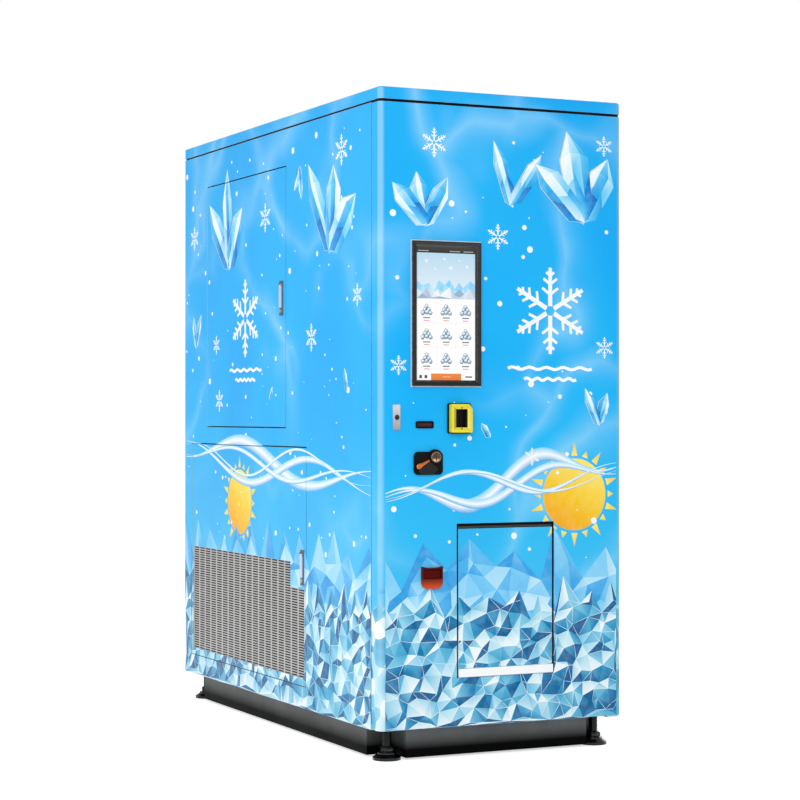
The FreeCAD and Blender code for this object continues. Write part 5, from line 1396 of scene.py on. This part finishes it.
def fit_lever(plate):
    """Return lever with a dished thumb end, in place of the plain one."""
    ahead = Vector((math.cos(LEVER_TURN), math.sin(LEVER_TURN)))
    across = Vector((-ahead.y, ahead.x))
    rings = []
    for along, half, top, dish in LEVER_STATIONS:
        one_half = ((0.8, LEVER_CLEAR), (1.0, 2.4), (0.94, 0.62 * top), (0.62, 0.95 * top), (0.22, dish * top))
        section = [(-share, lift) for share, lift in one_half] + list(one_half[::-1])
        ring = []
        for share, lift in section:
            place = LEVER_PIVOT + (ahead * along + across * half * share) * MILLIMETRE
            ring.append(plate.at(place.x, place.y, max(lift, LEVER_CLEAR) * MILLIMETRE))
        rings.append(ring)
    lever = settle("return_lever", loft(rings), "lever", FINISH["copper"], smooth=True)
    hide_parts("coin_lever")


def fit_coin_disc():
    """Face of the coin disc with a painted reflection, brown over the upper half and pale cream over the lower,
    split by the coin slot, with a rolled rim.
    """
    u0, u1, v0, v1 = span_of("coin_disc", FRONT)
    u, v = middle_of("coin_disc")
    face = front_of("coin_disc")
    reach = (u1 - u0) / 2 * 0.80
    half_slot = 0.0019

    def arc(first, last, steps, tone, far_tone):
        spots = []
        for n in range(steps + 1):
            angle = math.radians(first + (last - first) * n / steps)
            spots.append((u + reach * math.cos(angle), v + reach * math.sin(angle),
                          between([srgb(*tone), srgb(*far_tone)], n / steps)))
        return spots

    # Painted reflection on the metal face: brown darkening round the upper half, pale cream turning tan round the
    # lower half.
    halves = [arc(-14, 194, 26, (96, 66, 58), (52, 34, 32)), arc(214, 326, 16, (250, 238, 208), (214, 188, 150))]
    slot = (u - half_slot, u + half_slot, v - reach * 0.9, v + reach * 0.9)
    foil("coin_disc_reflection", halves, face, windows((u0, u1, v0, v1), [slot]), "door", 0.0003, FINISH["tinted"])
    profile = ((1.04, 0.0), (1.06, 0.0009), (1.14, 0.0012), (1.22, 0.0007), (1.24, 0.0))
    settle("coin_disc_rim", turned_ring(face, (u, v), [(reach * share, lift) for share, lift in profile]),
           "door", FINISH["bronze"], smooth=True)


def fit_coin_collar():
    """Raised collar round the upper right of the coin disc."""
    u, v = middle_of("coin_disc")
    proud = FRONT.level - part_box("coin_disc")[0].y
    first, sweep, steps = -80, 240, 36
    profile = ((0.0198, 0.0), (0.0198, proud - 0.0024), (0.0204, proud - 0.0018), (0.0222, proud - 0.0024),
               (0.0232, proud - 0.0044), (0.0232, 0.0))
    turns = [math.radians(first + sweep * n / steps) for n in range(steps + 1)]
    rings = [[FRONT.at(u + reach * math.cos(turn), v + reach * math.sin(turn), lift) for reach, lift in profile]
             for turn in turns]
    settle("coin_collar", loft(rings), "door", FINISH["black"], smooth=True)


class FitDevices(bpy.types.Operator):
    """Adds the lock ring, reader lining, coin guide, coin collar, return lever and coin disc face"""
    bl_idname = "icecabinet.fit_devices"
    bl_label = "Lock, reader and coin fittings"

    def execute(self, context):
        fit_lock()
        fit_reader()
        plate = Side("y", FRONT.level - 0.008, 1)
        outline = [(-0.2970, 0.8840), (-0.2900, 0.8712), (-0.2440, 0.8712), (-0.2310, 0.8850), (-0.2590, 0.9090)]
        settle("coin_guide", raised_plate(plate, outline, ((1.0, 0.0), (1.0, 0.0007), (0.965, 0.0012))),
               "door", FINISH["guide"])
        fit_coin_collar()
        fit_lever(plate)
        fit_coin_disc()
        return {"FINISHED"}


class FitFasteners(bpy.types.Operator):
    """Puts cross-recessed screws on the rear and right panels and pressed lips over the right air slots"""
    bl_idname = "icecabinet.fit_fasteners"
    bl_label = "Screws and air slot lips"

    def execute(self, context):
        low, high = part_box("panel_screws")
        radius, count = 0.005, 6
        first, last = low.z + radius, high.z - radius
        columns = (("rear_left", REAR, low.x + radius), ("rear_right", REAR, -(low.x + radius)),
                   ("right_front", RIGHT, low.y + radius), ("right_rear", RIGHT, -(low.y + radius)))
        for name, side, along in columns:
            screws = grow("screws_" + name, "row", screw_shape(side, radius), {
                "Count": count, "Start": side.at(along * side.along, first),
                "Step": (0, 0, (last - first) / (count - 1)), "Ink": FINISH["steel"]}, "cabinet")
            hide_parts("panel_screws")
        grow("air_slot_lips", "row", lip_shape(), {
            "Count": SLOT_COUNT, "Start": (RIGHT.level, SLOT_Y, SLOT_LOW), "Step": (0, 0, SLOT_PITCH),
            "Ink": FINISH["print"]}, "cabinet")
        return {"FINISHED"}


FOOT_X, FOOT_Y = 0.364, 0.785
NUT_LOW, NUT_HIGH, NUT_HALF, NUT_BEVEL = 0.0245, 0.0375, 0.0206, 0.003
THREAD_LOW, THREAD_PITCH, THREAD_TURNS = 0.0425, 0.0027, 19


def level_rings(centre, profile, corners, turn=0.0):
    """Level rings of corners round an upright axis, through (radius, level) steps."""
    return [[Vector((centre[0] + a, centre[1] + b, level)) for a, b in round_points(reach, corners, turn)]
            for reach, level in profile]


class FitFeet(bpy.types.Operator):
    """Adds hexagon lock nuts and rolled threads to the four levelling feet"""
    bl_idname = "icecabinet.fit_feet"
    bl_label = "Levelling feet"

    def execute(self, context):
        reach = NUT_HALF / math.cos(math.pi / 6)
        nut = ((reach * 0.93, NUT_LOW), (reach, NUT_LOW + NUT_BEVEL), (reach, NUT_HIGH - NUT_BEVEL),
               (reach * 0.93, NUT_HIGH))
        thread = ((0.0132, 0.0), (0.0147, 0.0011), (0.0132, 0.0022))
        for x, side_name in ((-FOOT_X, "left"), (FOOT_X, "right")):
            for y, end_name in ((-FOOT_Y, "front"), (FOOT_Y, "rear")):
                where = "%s_%s" % (side_name, end_name)
                settle("foot_nut_" + where, loft(level_rings((x, y), nut, 6, 0.3)), "cabinet",
                       FINISH["foot"])
                turn = plain_mesh("thread_turn", loft(level_rings((0, 0), thread, 20)))
                grow("foot_thread_" + where, "row", turn, {
                    "Count": THREAD_TURNS, "Start": (x, y, THREAD_LOW), "Step": (0, 0, THREAD_PITCH),
                    "Ink": FINISH["foot"]}, "cabinet")
        return {"FINISHED"}


# Stage
WHITE = (1, 1, 1, 1)
FLOOR_HALF, FLOOR_LEVEL, FLOOR_GLOW = 30, -0.0005, 0.58
LAMP_SIZE = 4.0
# Lamps as name, place, aim and share of the key light
LAMPS = (("key", (-3.4, -6.2, 3.6), (0, -0.4, 1.0), 1.0), ("side", (-6.5, 0.6, 2.4), (0, 0.1, 1.0), 0.55),
         ("back", (4.5, 4.5, 4.0), (0, 0, 1.0), 0.7))
CAMERA_PLACE = (-3.1187, -6.6632, 1.0538)
CAMERA_LOOK = (0.430, 0.9028, 0.0064)


def seen_by(tree, *rays):
    """Mask of the rays of the named kinds."""
    path = add(tree, "ShaderNodeLightPath")
    mask = path.outputs[rays[0]]
    for ray in rays[1:]:
        mask = calc(tree, "MAXIMUM", mask, path.outputs[ray])
    return mask


def make_floor(scene, colour):
    """Pale floor that looks white in the picture but throws no extra light."""
    mesh_maker = bmesh.new()
    bmesh.ops.create_grid(mesh_maker, x_segments=2, y_segments=2, size=FLOOR_HALF)
    shape = plain_mesh("floor", mesh_maker)
    floor = bpy.data.objects.new("floor", shape)
    floor.location.z = FLOOR_LEVEL
    scene.collection.objects.link(floor)
    material = bpy.data.materials.new("pale_floor")
    material.use_nodes = True
    tree = material.node_tree
    tree.nodes.clear()
    matt = add(tree, "ShaderNodeBsdfDiffuse", {"Color": tuple(colour)})
    glow = add(tree, "ShaderNodeEmission", {"Color": WHITE, "Strength": FLOOR_GLOW})
    nothing = add(tree, "ShaderNodeEmission", {"Strength": 0.0})
    seen = seen_by(tree, "Is Camera Ray", "Is Glossy Ray", "Is Transmission Ray")
    lift = add(tree, "ShaderNodeMixShader", {0: seen, 1: nothing.outputs[0], 2: glow.outputs[0]})
    both = add(tree, "ShaderNodeAddShader", {0: matt.outputs[0], 1: lift.outputs[0]})
    add(tree, "ShaderNodeOutputMaterial", {"Surface": both.outputs[0]})
    shape.materials.append(material)


def make_world(scene, strength):
    """Even light all round, and a white background."""
    scene.world = bpy.data.worlds.new("soft_room")
    scene.world.use_nodes = True
    tree = scene.world.node_tree
    tree.nodes.clear()
    even = add(tree, "ShaderNodeBackground", {"Color": WHITE, "Strength": strength})
    white = add(tree, "ShaderNodeBackground", {"Color": WHITE, "Strength": 1.0})
    seen = seen_by(tree, "Is Camera Ray", "Is Transmission Ray")
    room = add(tree, "ShaderNodeMixShader", {0: seen, 1: even.outputs[0], 2: white.outputs[0]})
    add(tree, "ShaderNodeOutputWorld", {"Surface": room.outputs[0]})


def hold(scene, name, data, place, look):
    """Places a lamp or a camera so that it looks along a direction."""
    holder = bpy.data.objects.new(name, data)
    holder.location = place
    holder.rotation_euler = look.to_track_quat("-Z", "Y").to_euler()
    scene.collection.objects.link(holder)
    return holder


class SetStage(bpy.types.Operator):
    """Floor, light and camera"""
    bl_idname = "icecabinet.set_stage"
    bl_label = "Stage"

    def execute(self, context):
        scene = context.scene
        settings = scene.stage_settings
        scene.view_settings.view_transform = "Standard"
        make_floor(scene, settings.floor)
        make_world(scene, settings.sky_light)
        for name, place, aim, share in LAMPS:
            lamp = bpy.data.lights.new(name, "AREA")
            lamp.energy = settings.key_light * share
            lamp.size = LAMP_SIZE
            hold(scene, name, lamp, place, Vector(aim) - Vector(place))
        camera = bpy.data.cameras.new("view")
        camera.lens = settings.lens
        camera.sensor_width = 36
        camera.sensor_fit = "HORIZONTAL"
        camera.clip_end = 100
        scene.camera = hold(scene, "view", camera, CAMERA_PLACE, Vector(CAMERA_LOOK))
        return {"FINISHED"}


OPERATORS = (SetStage, DressFrame, PrintMotifs, LightScreen, FitDevices, FitFasteners, FitFeet)
SETTINGS = {"cabinet_colours": CabinetColours, "print_sizes": PrintSizes, "stage_settings": StageSettings}


class CabinetPanel(bpy.types.Panel):
    """Lists the steps that dress the cabinet"""
    bl_idname = "VIEW3D_PT_ice_cabinet"
    bl_label = "Ice cabinet"
    bl_space_type = "VIEW_3D"
    bl_region_type = "UI"
    bl_category = "Ice Cabinet"

    def draw(self, context):
        for key in SETTINGS:
            settings = getattr(context.scene, key)
            for name in settings.bl_rna.properties.keys():
                if name not in ("rna_type", "name"):
                    self.layout.prop(settings, name)
        for operator in OPERATORS:
            self.layout.operator(operator.bl_idname)


CLASSES = (*SETTINGS.values(), *OPERATORS, CabinetPanel)


def register():
    for kind in CLASSES:
        bpy.utils.register_class(kind)
    for key, kind in SETTINGS.items():
        setattr(bpy.types.Scene, key, bpy.props.PointerProperty(type=kind))


def unregister():
    for key in SETTINGS:
        delattr(bpy.types.Scene, key)
    for kind in reversed(CLASSES):
        bpy.utils.unregister_class(kind)


def main():
    """Registers the classes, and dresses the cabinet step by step."""
    register()
    bpy.ops.icecabinet.set_stage()
    bpy.ops.icecabinet.dress_frame()
    bpy.ops.icecabinet.print_motifs()
    bpy.ops.icecabinet.light_screen()
    bpy.ops.icecabinet.fit_devices()
    bpy.ops.icecabinet.fit_fasteners()
    bpy.ops.icecabinet.fit_feet()


if __name__ == "__main__":
    main()
